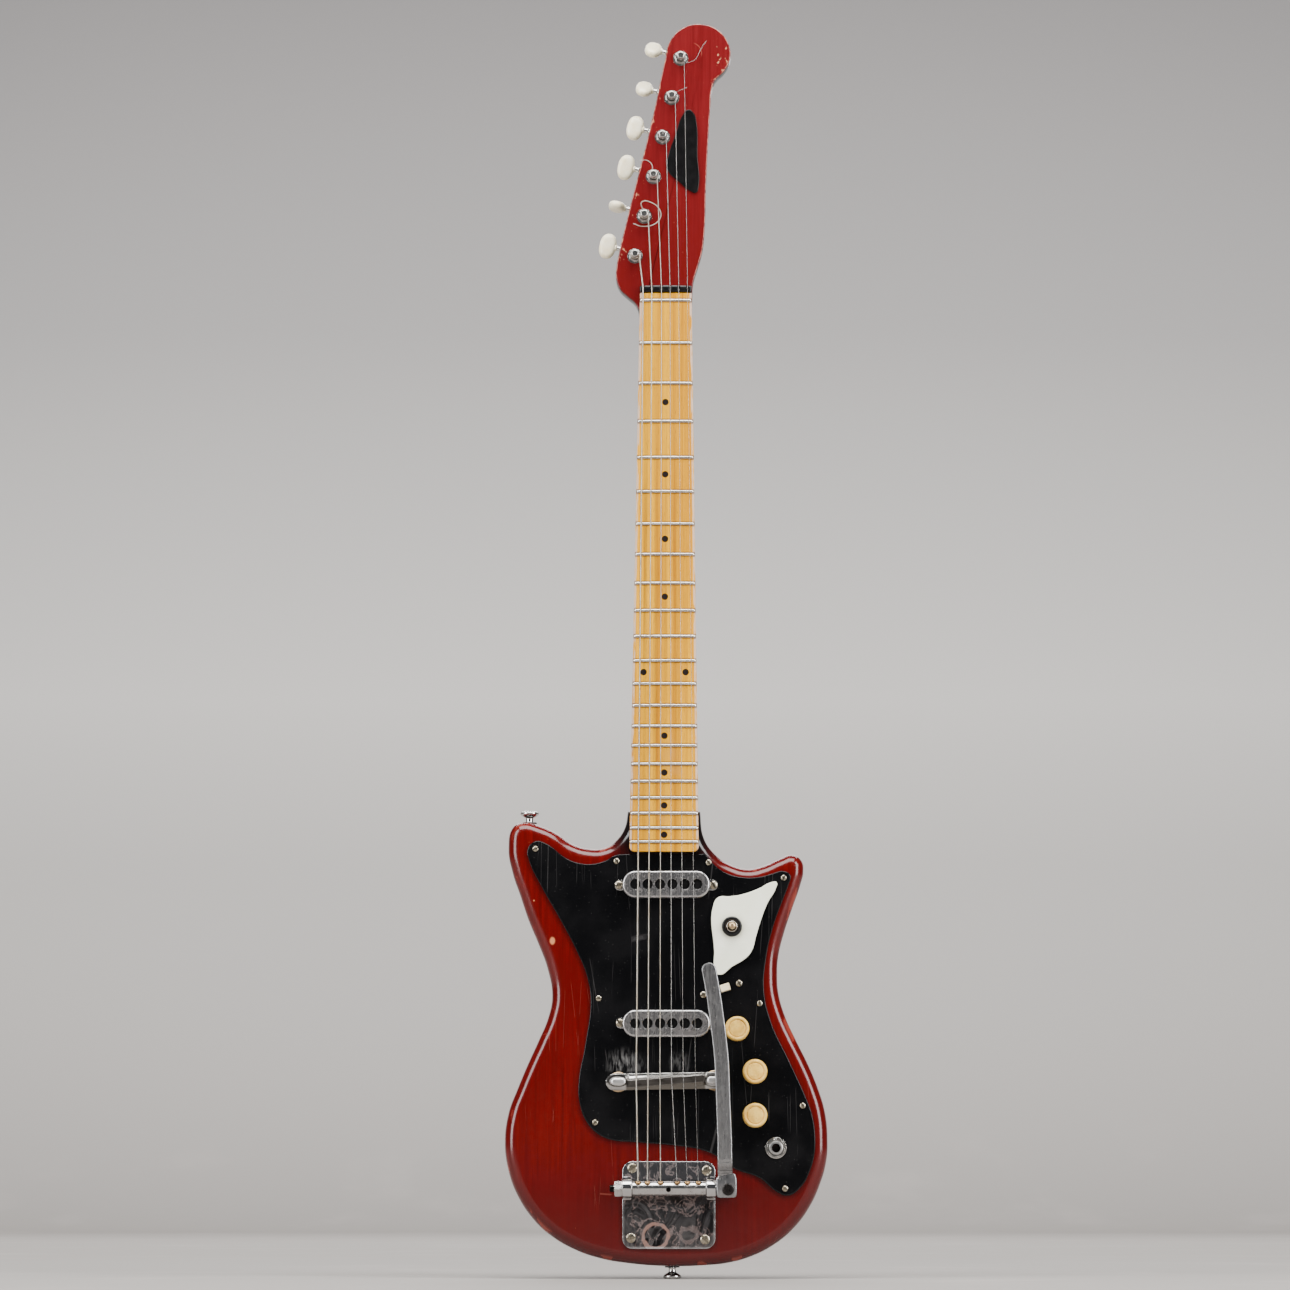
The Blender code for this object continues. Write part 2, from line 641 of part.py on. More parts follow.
def neck_pocket():
    """The slot that the heel fits, open at the body's top edge."""
    side = board_half_width(BOARD_END_Z) - NECK_INSET + GAP
    centre = board_centre(BOARD_END_Z)
    return box("neck_pocket", (centre - side, centre + side), (BOARD_END_Z, HEEL_Z), (HEEL_FLOOR, 5))


def make_body():
    body = place(plate("body", BODY_OUTLINE, BODY_BACK, 0, BODY_ROUNDING, 1))
    control = plate("control_cavity", CONTROL_OUTLINE, -CONTROL_DEPTH, 1)
    cut(body, place(neck_pocket()), place(control))
    reach = TOGGLE_BODY_RADIUS + 3
    switch = rod("toggle_cavity", reach, -TOGGLE_DEPTH - 5, 1, 16)
    cut(body, place(switch, *TOGGLE))
    for number, z in enumerate(PICKUP_Z, 1):
        shape = rounded_rectangle(COIL_LENGTH + 4, COIL_WIDTH + 4, 4, 2)
        cavity = polygon(f"pickup_cavity_{number}", shape, -COIL_DEPTH - 3, 1)
        cut(body, place(cavity, 0, z))
    for side in (-1, 1):
        bore = rod(f"foot_bore_{side}", FOOT_POST_RADIUS + GAP, -FOOT_POST_DEPTH - 1, 1, 12)
        cut(body, place(bore, side * FOOT_X, foot_z(side)))
    half = max(TONGUE_WIDTH / 2, SPRING_RADIUS + SPRING_WIRE_RADIUS) + 1.5
    spring_room = (SPRING_FOOT_Z - GAP, BAR_Z + 8)
    cut(body, place(box("spring_cavity", (-half, half), spring_room, (-SPRING_CAVITY_DEPTH, 1))))
    for number, (x, z) in enumerate(neck_screw_spots(), 1):
        bore = rod(f"body_bore_{number}", NECK_SCREW_RADIUS + GAP, BODY_BACK - 1, HEEL_FLOOR + 6, 10)
        cut(body, place(bore, x, z))
    spike = STRAP_BUTTON_STEM * 0.6 + GAP
    for name, x, z in strap_button_spots():
        along = 1 if z < BRIDGE_Z else -1
        bore = rod(f"{name}_bore", spike, -2, STRAP_SPIKE + 0.5, 10)
        cut(body, place_along(bore, x, z, MID_BODY, (0, 0, along)))
    return finish(body, "red_lacquer", 40)


# ---------------------------------------------------------------- plates on the body


def slide_slot(name, width, low, high, clearance):
    length = SLIDE_CAP[0] + SLIDE_TRAVEL + 2 * clearance
    slot = box(name, (-length / 2, length / 2), (-width / 2, width / 2), (low, high))
    return place(slot, *SLIDE_CENTRE, turn=SLIDE_ANGLE)


def make_pickguard():
    guard = place(plate("pickguard", GUARD_OUTLINE, GAP, GUARD_TOP))
    for number, z in enumerate(PICKUP_Z, 1):
        shape = rounded_rectangle(COIL_LENGTH + 1, COIL_WIDTH + 1, 3, 2)
        cut(guard, place(polygon(f"guard_pickup_{number}", shape, -1, GUARD_TOP + 1), 0, z))
    holes = [(*spot, BUSHING_RADIUS) for spot in KNOBS]
    holes += [(*TOGGLE, TOGGLE_BUSHING_RADIUS), (*JACK, JACK_RADIUS)]
    holes += [(side * FOOT_X, foot_z(side), FOOT_POST_RADIUS) for side in (-1, 1)]
    for number, (x, z, radius) in enumerate(holes, 1):
        hole = rod(f"guard_hole_{number}", radius + GAP, -1, GUARD_TOP + 1, 14)
        cut(guard, place(hole, x, z))
    cut(guard, slide_slot("guard_slot", SLIDE_CAP[1] + 2 * GAP, -1, GUARD_TOP + 1, GAP))
    return finish(guard, "black_plastic")


def make_corner_plate():
    low = GUARD_TOP + GAP
    corner = place(plate("corner_plate", CORNER_PLATE_OUTLINE, low, low + CORNER_PLATE_THICKNESS, 0.4, 0))
    hole = rod("corner_hole", TOGGLE_BUSHING_RADIUS + GAP, 0, low + CORNER_PLATE_THICKNESS + 1, 16)
    cut(corner, place(hole, *TOGGLE))
    return finish(corner, "ivory_plastic")


def neck_screw_spots():
    across, along = (spacing / 2 for spacing in NECK_SCREW_SPACING)
    centre = board_centre(NECK_PLATE_Z)
    return [(centre + x * across, NECK_PLATE_Z + z * along) for x in (-1, 1) for z in (-1, 1)]


def make_neck_plate():
    back = BODY_BACK - GAP
    shape = rounded_rectangle(*NECK_PLATE, 5, 3)
    base = polygon("neck_plate", shape, back - NECK_PLATE_THICKNESS, back)
    place(base, board_centre(NECK_PLATE_Z), NECK_PLATE_Z)
    for number, (x, z) in enumerate(neck_screw_spots(), 1):
        bore = rod(f"plate_bore_{number}", NECK_SCREW_RADIUS + GAP, BODY_BACK - 5, BODY_BACK + 5, 10)
        cut(base, place(bore, x, z))
    return finish(base, "worn_chrome")


def make_neck_screws():
    under = BODY_BACK - GAP - NECK_PLATE_THICKNESS - GAP
    head, shank = NECK_SCREW_HEAD_RADIUS, NECK_SCREW_RADIUS
    tip = NECK_SCREW_REACH
    profile = (
        (0, tip), (shank * 0.3, tip), (shank, tip - 4), (shank, 0), (head, 0),
        (head * 0.8, -NECK_SCREW_HEAD), (0, -NECK_SCREW_HEAD),
    )  # fmt: skip
    for number, (x, z) in enumerate(neck_screw_spots(), 1):
        screw = place(turned(f"neck_screw_{number}", profile, 12), x, z, under)
        finish(screw, "steel", 35)


# ---------------------------------------------------------------- pickups


def make_pickup(name, z):
    low = GUARD_TOP + GAP
    half = PICKUP_WIDTH / 2
    shape = rounded_rectangle(PICKUP_LENGTH, PICKUP_WIDTH, half - 0.01, 6)
    cover = place(polygon(f"pickup_cover_{name}", shape, low, PICKUP_TOP), 0, z)
    inner_half = half - PICKUP_WALL
    inner_length = PICKUP_LENGTH - 2 * PICKUP_WALL
    inner_shape = rounded_rectangle(inner_length, 2 * inner_half, inner_half - 0.01, 6)
    inner = polygon(f"cover_hollow_{name}", inner_shape, low - 1, PICKUP_TOP - PICKUP_WALL)
    cut(cover, place(inner, 0, z))
    for number in range(6):
        hole = rod(f"pole_hole_{name}_{number + 1}", POLE_HOLE_RADIUS, low, PICKUP_TOP + 1, 12)
        cut(cover, place(hole, (number - 2.5) * POLE_SPACING, z))
    finish(cover, "worn_chrome", 35)
    coil_shape = rounded_rectangle(COIL_LENGTH, COIL_WIDTH, 3, 2)
    coil_top = PICKUP_TOP - PICKUP_WALL - GAP
    coil = polygon(f"pickup_coil_{name}", coil_shape, -COIL_DEPTH, coil_top)
    finish(place(coil, 0, z), "black_plastic")


# ---------------------------------------------------------------- controls


def make_pots_and_knobs():
    """Each knob carries its shaft, which turns in the pot's bore."""
    under = -GAP
    bore = SHAFT_RADIUS + GAP
    bushing_top = GUARD_TOP + 2.2
    pot_profile = (
        (bore, bushing_top), (BUSHING_RADIUS, bushing_top), (BUSHING_RADIUS, under), (POT_RADIUS, under),
        (POT_RADIUS, under - POT_HEIGHT), (bore, under - POT_HEIGHT),
    )  # fmt: skip
    skirt = GUARD_TOP + 0.8
    top = skirt + KNOB_HEIGHT
    inside = KNOB_RADIUS - KNOB_WALL
    ceiling = bushing_top + 1.0
    knob_profile = (
        (0, top - 0.9), (KNOB_RADIUS - 3.0, top - 0.9), (KNOB_RADIUS - 2.2, top), (KNOB_RADIUS - 1.0, top),
        (KNOB_RADIUS - 0.3, top - 0.8), (KNOB_RADIUS, skirt), (inside, skirt), (inside, ceiling),
        (SHAFT_RADIUS, ceiling), (SHAFT_RADIUS, -SHAFT_DEPTH), (0, -SHAFT_DEPTH),
    )  # fmt: skip
    for number, (x, z) in enumerate(KNOBS, 1):
        finish(place(turned(f"pot_{number}", pot_profile, 14), x, z), "steel", 35)
        finish(place(turned(f"knob_{number}", knob_profile, 20), x, z), "cream_plastic", 35)


def make_slide_switch():
    length, width, depth = SLIDE_BODY
    stem = (3.4, 3.0)
    stem_low = -depth + 2.5
    case = box("slide_switch_body", (-length / 2, length / 2), (-width / 2, width / 2), (-depth, -GAP))
    place(case, *SLIDE_CENTRE, turn=SLIDE_ANGLE)
    track = (stem[0] + SLIDE_TRAVEL) / 2 + GAP
    groove = box("slide_track", (-track, track), (-stem[1] / 2 - GAP, stem[1] / 2 + GAP), (stem_low - GAP, 1))
    cut(case, place(groove, *SLIDE_CENTRE, turn=SLIDE_ANGLE))
    finish(case, "steel")
    rest = SLIDE_TRAVEL / 2
    x = SLIDE_CENTRE[0] + rest * math.cos(SLIDE_ANGLE)
    z = SLIDE_CENTRE[1] + rest * math.sin(SLIDE_ANGLE)
    half_long, half_wide = SLIDE_CAP[0] / 2, SLIDE_CAP[1] / 2
    cap = box("slide_switch_cap", (-half_long, half_long), (-half_wide, half_wide), (GAP, SLIDE_CAP_TOP))
    place(cap, x, z, turn=SLIDE_ANGLE)
    post = box("slide_stem", (-stem[0] / 2, stem[0] / 2), (-stem[1] / 2, stem[1] / 2), (stem_low, 1))
    join(cap, place(post, x, z, turn=SLIDE_ANGLE))
    finish(cap, "cream_plastic")


def make_toggle():
    ring_low = GUARD_TOP + GAP + CORNER_PLATE_THICKNESS + GAP
    ring_top = ring_low + 2.0
    bore_floor = -6.0
    case_profile = (
        (TOGGLE_BORE, ring_top), (TOGGLE_RING_RADIUS - 0.8, ring_top), (TOGGLE_RING_RADIUS, ring_low),
        (TOGGLE_BUSHING_RADIUS, ring_low), (TOGGLE_BUSHING_RADIUS, -GAP), (TOGGLE_BODY_RADIUS, -GAP),
        (TOGGLE_BODY_RADIUS, -TOGGLE_DEPTH), (1.0, -TOGGLE_DEPTH), (1.0, bore_floor),
        (TOGGLE_BORE, bore_floor),
    )  # fmt: skip
    finish(place(turned("toggle_body", case_profile, 16), *TOGGLE), "black_plastic", 35)
    tip, stem, ball = TOGGLE_TIP_RADIUS, 1.7, 2.6
    lever_profile = (
        (0, TOGGLE_LENGTH), (tip * 0.7, TOGGLE_LENGTH - 0.8), (tip, TOGGLE_LENGTH - tip),
        (tip * 0.85, TOGGLE_LENGTH - 4.5), (stem, TOGGLE_LENGTH - 8), (stem, ball),
        (ball, 0), (stem, -ball), (0, -ball - 0.6),
    )  # fmt: skip
    finish(place(turned("toggle_lever", lever_profile, 12), *TOGGLE), "nickel", 35)


def make_jack():
    top = GUARD_TOP + GAP + JACK_NUT_THICKNESS + 0.8
    flange = JACK_RADIUS + 1.6
    profile = (
        (JACK_BORE_RADIUS, top), (JACK_RADIUS, top), (JACK_RADIUS, -GAP), (flange, -GAP), (flange, -3),
        (JACK_RADIUS, -3), (JACK_RADIUS, -JACK_DEPTH), (JACK_BORE_RADIUS, -JACK_DEPTH),
    )  # fmt: skip
    finish(place(turned("jack", profile, 16), *JACK), "steel", 35)
    low = GUARD_TOP + GAP
    hexagon = ring_points(JACK_NUT_ACROSS_CORNERS / 2, 6, math.radians(12))
    nut = place(polygon("jack_nut", hexagon, low, low + JACK_NUT_THICKNESS), *JACK)
    cut(nut, place(rod("jack_nut_bore", JACK_RADIUS + GAP, low - 1, top, 20), *JACK))
    finish(nut, "nickel")


# ---------------------------------------------------------------- bridge


def foot_z(side):
    return BRIDGE_CENTRE_Z + side * BRIDGE_SKEW / 2


def make_bridge():
    bottom, top = BRIDGE_BASE
    centre_x = sum(BRIDGE_ENDS) / 2
    length = BRIDGE_ENDS[1] - BRIDGE_ENDS[0]
    turn = math.atan2(BRIDGE_SKEW, 2 * FOOT_X)
    shape = rounded_rectangle(length, BRIDGE_WIDTH, BRIDGE_WIDTH / 2 - 0.01, 5)
    bar = place(polygon("bridge_bar", shape, bottom, top), centre_x, BRIDGE_CENTRE_Z, turn=turn)
    saddle_top = STRING_AT_BRIDGE - max(STRING_RADII) - GAP
    rings = []
    for x in (-SADDLE_HALF_LENGTH, SADDLE_HALF_LENGTH):
        middle, half = saddle_z(x), SADDLE_WIDTH / 2
        section = ((-half, top - 1), (half, top - 1), (half * 0.6, saddle_top), (-half * 0.6, saddle_top))
        rings.append([(x, middle + across, height) for across, height in section])
    join(bar, place(loft("saddle_ridge", rings)))
    for side in (-1, 1):
        x, z = side * FOOT_X, foot_z(side)
        oval = rounded_rectangle(*BOSS_SIZE, BOSS_SIZE[1] / 2 - 0.01, 4)
        join(bar, place(polygon(f"boss_{side}", oval, top - 1, BOSS_TOP), x, z))
        socket = rod(f"peg_socket_{side}", FOOT_PEG_RADIUS + GAP, bottom - 1, bottom + 2.8, 12)
        cut(bar, place(socket, x, z))
    finish(bar, "nickel", 35)
    wheel_top, wheel_low = bottom - GAP, GUARD_TOP + GAP
    profile = (
        (0, bottom + 2.4), (FOOT_PEG_RADIUS, bottom + 2.4), (FOOT_PEG_RADIUS, wheel_top),
        (FOOT_RADIUS - 0.6, wheel_top), (FOOT_RADIUS, wheel_top - 0.6), (FOOT_RADIUS, wheel_low),
        (FOOT_POST_RADIUS, wheel_low), (FOOT_POST_RADIUS, -FOOT_POST_DEPTH), (0, -FOOT_POST_DEPTH),
    )  # fmt: skip
    for name, side in (("bass", -1), ("treble", 1)):
        foot = turned(f"bridge_foot_{name}", profile, 20)
        finish(place(foot, side * FOOT_X, foot_z(side)), "brass", 35)


# ---------------------------------------------------------------- vibrato


def along_x(name, radius, left, right, sides=20):
    """A round bar on the vibrato's axis."""
    bar = rod(name, radius, left, right, sides)
    return place_along(bar, 0, BAR_Z, BAR_HEIGHT, (1, 0, 0))


def make_vibrato_plate():
    left, right, bottom, top = VIBRATO_PLATE
    shape = rounded_rectangle(right - left, top - bottom, VIBRATO_CORNER, 4)
    base = polygon("vibrato_plate", shape, GAP, GAP + VIBRATO_PLATE_THICKNESS)
    place(base, (left + right) / 2, (bottom + top) / 2)
    for number, ends in enumerate(LUGS, 1):
        join(base, along_x(f"lug_{number}", LUG_RADIUS, *ends))
        reach = LUG_RADIUS - 0.6
        web = box(f"lug_web_{number}", ends, (BAR_Z - reach, BAR_Z + reach), (GAP + 0.2, 6))
        join(base, place(web))
    cut(base, along_x("axle_bore", AXLE_RADIUS + GAP, LUGS[0][0] - 1, LUGS[1][1] + 1, 16))
    room = TONGUE_WIDTH / 2 + 1.5
    cut(base, place(box("tongue_slot", (-room, room), (BAR_Z - 5, BAR_Z + 5), (-1, 3))))
    return finish(base, "worn_chrome", 35)


def make_vibrato_bar():
    bar = along_x("vibrato_bar", BAR_RADIUS, *BAR_ENDS, 24)
    join(bar, along_x("axle", AXLE_RADIUS, *AXLE_ENDS, 16))
    half_wide, half_thick = TONGUE_WIDTH / 2, TONGUE_THICKNESS / 2
    tongue = box(
        "tongue",
        (-half_wide, half_wide),
        (BAR_Z - half_thick, BAR_Z + half_thick),
        (TONGUE_TIP, BAR_HEIGHT),
    )
    join(bar, place(tongue))
    axis = (0, -math.cos(BALL_POCKET_LEAN), math.sin(BALL_POCKET_LEAN))
    for number, x in enumerate(STRING_X_BAR, 1):
        pocket = rod(f"ball_pocket_{number}", BALL_POCKET_RADIUS, 1.4, BAR_RADIUS + 2, 12)
        cut(bar, place_along(pocket, x, BAR_Z, BAR_HEIGHT, axis))
    finish(bar, "worn_chrome", 35)
    left = LUGS[0][0] - GAP - AXLE_NUT_LENGTH
    hexagon = ring_points(AXLE_NUT_ACROSS / math.sqrt(3), 6, 0.1)
    nut = polygon("axle_nut", hexagon, left, left + AXLE_NUT_LENGTH)
    place_along(nut, 0, BAR_Z, BAR_HEIGHT, (1, 0, 0))
    cut(nut, along_x("axle_nut_bore", AXLE_RADIUS + GAP, left - 1, left + AXLE_NUT_LENGTH + 1, 16))
    finish(nut, "worn_chrome")


def make_hub():
    left, right, bottom, top = HUB
    shape = rounded_rectangle(right - left, top - bottom, 3.5, 3)
    hub = polygon("arm_hub", shape, 2.6, HUB_TOP)
    place(hub, (left + right) / 2, (bottom + top) / 2)
    cut(hub, along_x("hub_bore", AXLE_RADIUS + GAP, left - 1, AXLE_ENDS[1] + GAP, 16))
    floor = HUB_TOP - PIVOT_SCREW_REACH - GAP
    screw_hole = rod("hub_screw_hole", PIVOT_SCREW_RADIUS + GAP, floor, HUB_TOP + 1, 12)
    cut(hub, place(screw_hole, *ARM_PIVOT))
    return finish(hub, "worn_chrome")


def arm_rings(pivot_x, pivot_z, underside):
    """Rectangles across the arm's path, square to it as seen from the front and from the side."""
    middle = underside + ARM_THICKNESS / 2
    rise = ARM_LIFT - underside
    path = [Vector((x - pivot_x, z - pivot_z, middle + rise * share)) for x, z, share in ARM_STATIONS]
    end = path[-1]
    onward = (end - path[-2]).normalized()
    rounding = (0.45, 0.8, 0.97)  # stations of the round tip, as shares of the half width
    path += [end + onward * ARM_HALF_WIDTH * share for share in rounding]
    widths = [ARM_HALF_WIDTH] * len(ARM_STATIONS)
    widths += [ARM_HALF_WIDTH * math.sqrt(1 - share**2) for share in rounding]
    rings = []
    for index, (point, half) in enumerate(zip(path, widths)):
        before, after = path[max(index - 1, 0)], path[min(index + 1, len(path) - 1)]
        along = (after - before).normalized()
        across = Vector((along.y, -along.x, 0)).normalized()
        out = across.cross(along).normalized()
        corner = [
            point + across * half * side + out * ARM_THICKNESS / 2 * face
            for side, face in ((-1, -1), (1, -1), (1, 1), (-1, 1))
        ]
        rings.append(corner)
    return rings


def make_arm():
    """The arm's origin is on its pivot. Its eye lies on the hub, and a double bend lifts the rest."""
    x, z = ARM_PIVOT
    left, right, bottom, top = HUB
    eye_low = HUB_TOP + GAP
    eye_shape = rounded_rectangle(right - left, top - bottom, 3.5, 3)
    centre = ((left + right) / 2 - x, (bottom + top) / 2 - z)
    eye_shape = [(centre[0] + px, centre[1] + pz) for px, pz in eye_shape]
    arm = place(polygon("vibrato_arm", eye_shape, eye_low, eye_low + EYE_THICKNESS), x, z)
    join(arm, place(loft("arm_bar", arm_rings(x, z, eye_low)), x, z))
    hole = rod("arm_screw_hole", PIVOT_SCREW_RADIUS + GAP, eye_low - 1, eye_low + EYE_THICKNESS + 5, 12)
    cut(arm, place(hole, x, z))
    seat = rod("arm_head_seat", PIVOT_HEAD_RADIUS + GAP, eye_low + 1.4, eye_low + EYE_THICKNESS + 5, 16)
    cut(arm, place(seat, x, z))
    finish(arm, "worn_chrome", 30)
    head_low = eye_low + 1.4 + GAP
    head_top = head_low + PIVOT_HEAD_HEIGHT
    socket, floor = 2.2, head_low + 0.6
    screw_end = HUB_TOP - PIVOT_SCREW_REACH
    profile = (
        (0, floor), (socket, floor), (socket, head_top), (PIVOT_HEAD_RADIUS - 0.4, head_top),
        (PIVOT_HEAD_RADIUS, head_top - 0.4), (PIVOT_HEAD_RADIUS, head_low), (PIVOT_SCREW_RADIUS, head_low),
        (PIVOT_SCREW_RADIUS, screw_end), (0, screw_end),
    )  # fmt: skip
    screw = turned("arm_screw", profile, 16)
    finish(place(screw, x, z), "steel", 35)


def make_spring():
    """A compression coil between the cavity's lower wall and the bar's tongue."""
    foot = SPRING_FOOT_Z + SPRING_WIRE_RADIUS
    head = BAR_Z - TONGUE_THICKNESS / 2 - GAP - SPRING_WIRE_RADIUS
    steps = 9
    points = []
    for index in range(SPRING_TURNS * steps + 1):
        angle = math.tau * index / steps
        rise = foot + (head - foot) * index / (SPRING_TURNS * steps)
        height = SPRING_HEIGHT + SPRING_RADIUS * math.sin(angle)
        points.append((SPRING_RADIUS * math.cos(angle), rise, height))
    return finish(place(wire("vibrato_spring", points, SPRING_WIRE_RADIUS, 1)), "steel", 60)


# ---------------------------------------------------------------- strings and tuners


def make_strings():
    end_z = BAR_Z + STRING_IN_POCKET * math.sin(BALL_POCKET_LEAN)
    end_height = BAR_HEIGHT + STRING_IN_POCKET * math.cos(BALL_POCKET_LEAN)
    for index, radius in enumerate(STRING_RADII):
        bar_x, bridge_x, guide_x = STRING_X_BAR[index], STRING_X_BRIDGE[index], STRING_X_GUIDE[index]
        post_x, post_z = tuner_spot(TUNER_COUNT - 1 - index)
        rest = POST_RADIUS + radius + GAP
        points = (
            (bar_x, end_z, end_height),
            (bridge_x, saddle_z(bridge_x), STRING_AT_BRIDGE),
            (guide_x, ZERO_FRET_Z, STRING_AT_ZERO_FRET),
            (guide_x, BOARD_HEAD_Z + GUIDE_WIDTH / 2, STRING_AT_GUIDE),
            (post_x + rest, post_z, STRING_ON_POST),
        )
        material = "nickel" if index < 3 else "steel"
        finish(place(wire(f"string_{TUNER_COUNT - index}", points, radius, 1)), material, 60)


def gear_outline():
    """Straight-sided teeth around the pitch circle."""
    tip, root = GEAR_RADIUS + 0.85 * GEAR_MODULE, GEAR_RADIUS - GEAR_MODULE
    pitch = math.tau / GEAR_TEETH
    points = []
    for tooth in range(GEAR_TEETH):
        for radius, share in ((tip, 0.0), (root, 0.5)):
            angle = (tooth + share) * pitch
            points.append((radius * math.cos(angle), radius * math.sin(angle)))
    return points


def make_tuner_post(number, x, z):
    bottom = WORM_HEIGHT - GEAR_THICKNESS / 2 - 0.4
    radius, waist = POST_RADIUS, POST_WAIST
    profile = (
        (0, POST_TOP), (radius - 0.4, POST_TOP), (radius, POST_TOP - 0.5), (radius, POST_TOP - 3.2),
        (waist, STRING_ON_POST + 0.8), (waist, STRING_ON_POST - 0.8), (radius, STRING_ON_POST - 2.4),
        (radius, bottom), (0, bottom),
    )  # fmt: skip
    post = place(turned(f"tuner_post_{number}", profile, 10), x, z)
    gear_range = (WORM_HEIGHT - GEAR_THICKNESS / 2, WORM_HEIGHT + GEAR_THICKNESS / 2)
    gear = place(polygon(f"gear_{number}", gear_outline(), *gear_range), x, z, turn=ROW_TURN)
    join(post, gear)
    eye = rod(f"string_eye_{number}", 0.9, -5, 5, 6)
    cut(post, place_along(eye, x, z, STRING_ON_POST, (ROW.x, 0, ROW.y)))
    finish(post, "nickel", 35)


def make_tuner_button(number, x, z):
    """Worm shaft and button. Local Z runs out along the shaft, from the post's side to the button."""
    away = Vector((-ROW.y, 0, ROW.x))
    along_row = Vector((ROW.x, 0, ROW.y))
    axes = Matrix((along_row.cross(away), along_row, away)).transposed()
    start = Vector((x + ROW.x * WORM_OFFSET, FACE_Y - WORM_HEIGHT, z + ROW.y * WORM_OFFSET)) * MM
    frame = Matrix.Translation(start) @ axes.to_4x4()
    frame = frame @ Matrix.Rotation(math.radians(BUTTON_TURNS[number - 1]), 4, "Z")
    inner = -EAR_SPACING / 2 - 2
    shaft = rod(f"tuner_button_{number}", WORM_RADIUS, inner, BUTTON_CENTRE - 1, 12)
    long, wide, thick = (size / 2 * MM for size in BUTTON_SIZE)
    work = bmesh.new()
    shape = Matrix.Translation((0, 0, BUTTON_CENTRE * MM)) @ Matrix.Diagonal((thick, wide, long, 1))
    bmesh.ops.create_uvsphere(work, u_segments=10, v_segments=8, radius=1.0, matrix=shape)
    mesh = bpy.data.meshes.new(f"button_{number}")
    work.to_mesh(mesh)
    work.free()
    oval = add_object(f"button_{number}", mesh)
    shaft.matrix_world = frame
    oval.matrix_world = frame
    join(shaft, oval)
    finish(shaft, "cream_plastic", 60)


def make_tuner_plate():
    """One strip behind the row of posts, with a pair of ears for each worm shaft."""
    low, high = TUNER_PLATE_BACK, TUNER_PLATE_BACK + TUNER_PLATE_THICKNESS
    pitch = (Vector(TUNER_FIRST) - Vector(TUNER_LAST)).length / (TUNER_COUNT - 1)
    length = pitch * (TUNER_COUNT - 1)
    start, end = -6.0, length + WORM_OFFSET + 5
    strip = box("tuner_plate", (start, end), (-7.5, 8.0), (low, high))
    place(strip, *TUNER_LAST, turn=ROW_TURN)
    ear_low = WORM_HEIGHT - WORM_RADIUS - 1.4
    for index in range(TUNER_COUNT):
        x, z = tuner_spot(index)
        along = pitch * (TUNER_COUNT - 1 - index)
        worm = along + WORM_OFFSET
        for side in (-1, 1):
            middle = side * EAR_SPACING / 2
            across = (middle - EAR_THICKNESS / 2, middle + EAR_THICKNESS / 2)
            ear = box(f"ear_{index + 1}_{side}", (worm - 3, worm + 3), across, (ear_low, high - 0.4))
            join(strip, place(ear, *TUNER_LAST, turn=ROW_TURN))
        bore = rod(f"worm_bore_{index + 1}", WORM_RADIUS + GAP, -9, 9, 8)
        spot = (x + ROW.x * WORM_OFFSET, z + ROW.y * WORM_OFFSET)
        cut(strip, place_along(bore, *spot, WORM_HEIGHT, (-ROW.y, 0, ROW.x)))
        hole = rod(f"post_hole_{index + 1}", POST_RADIUS + 2 * GAP, low - 1, high + 1, 8)
        cut(strip, place(hole, x, z))
    return finish(strip, "nickel")


# ---------------------------------------------------------------- strap buttons


def strap_button_spots():
    """Name, X, and Z of the body's edge under each button."""
    return (
        ("strap_button_lower", LOWER_BUTTON_X, STRAP_BUTTON_LENGTH + GAP),
        ("strap_button_upper", UPPER_BUTTON_X, UPPER_BUTTON_Z),
    )


def make_strap_buttons():
    """Each stands on the body's edge, with a spike in the wood. Its outer end is flat."""
    wide, stem, length = STRAP_BUTTON_RADIUS, STRAP_BUTTON_STEM, STRAP_BUTTON_LENGTH
    spike = stem * 0.6
    profile = (
        (0, length), (wide - 1.6, length), (wide, length - 1.2), (wide, length - 2.6), (stem, length - 5),
        (stem + 0.4, 0), (spike, 0), (spike, -STRAP_SPIKE), (0, -STRAP_SPIKE),
    )  # fmt: skip
    for name, x, z in strap_button_spots():
        down = z < BRIDGE_Z
        start = z - GAP if down else z + GAP
        button = turned(name, profile, 20)
        place_along(button, x, start, MID_BODY, (0, 0, -1 if down else 1))
        finish(button, "worn_chrome", 35)


def build():
    make_body()
    make_neck()
    make_fingerboard()
    make_string_guide()
    make_truss_rod()
    make_head_badge()
    make_neck_plate()
    make_neck_screws()
    make_pickguard()
    make_corner_plate()
    for name, z in zip(("neck", "bridge"), PICKUP_Z):
        make_pickup(name, z)
    make_pots_and_knobs()
    make_slide_switch()
    make_toggle()
    make_jack()
    make_bridge()
    make_vibrato_plate()
    make_vibrato_bar()
    make_hub()
    make_arm()
    make_spring()
    make_strings()
    make_tuner_plate()
    for index in range(TUNER_COUNT):
        make_tuner_post(index + 1, *tuner_spot(index))
        make_tuner_button(index + 1, *tuner_spot(index))
    make_strap_buttons()


build()
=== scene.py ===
import functools
import math

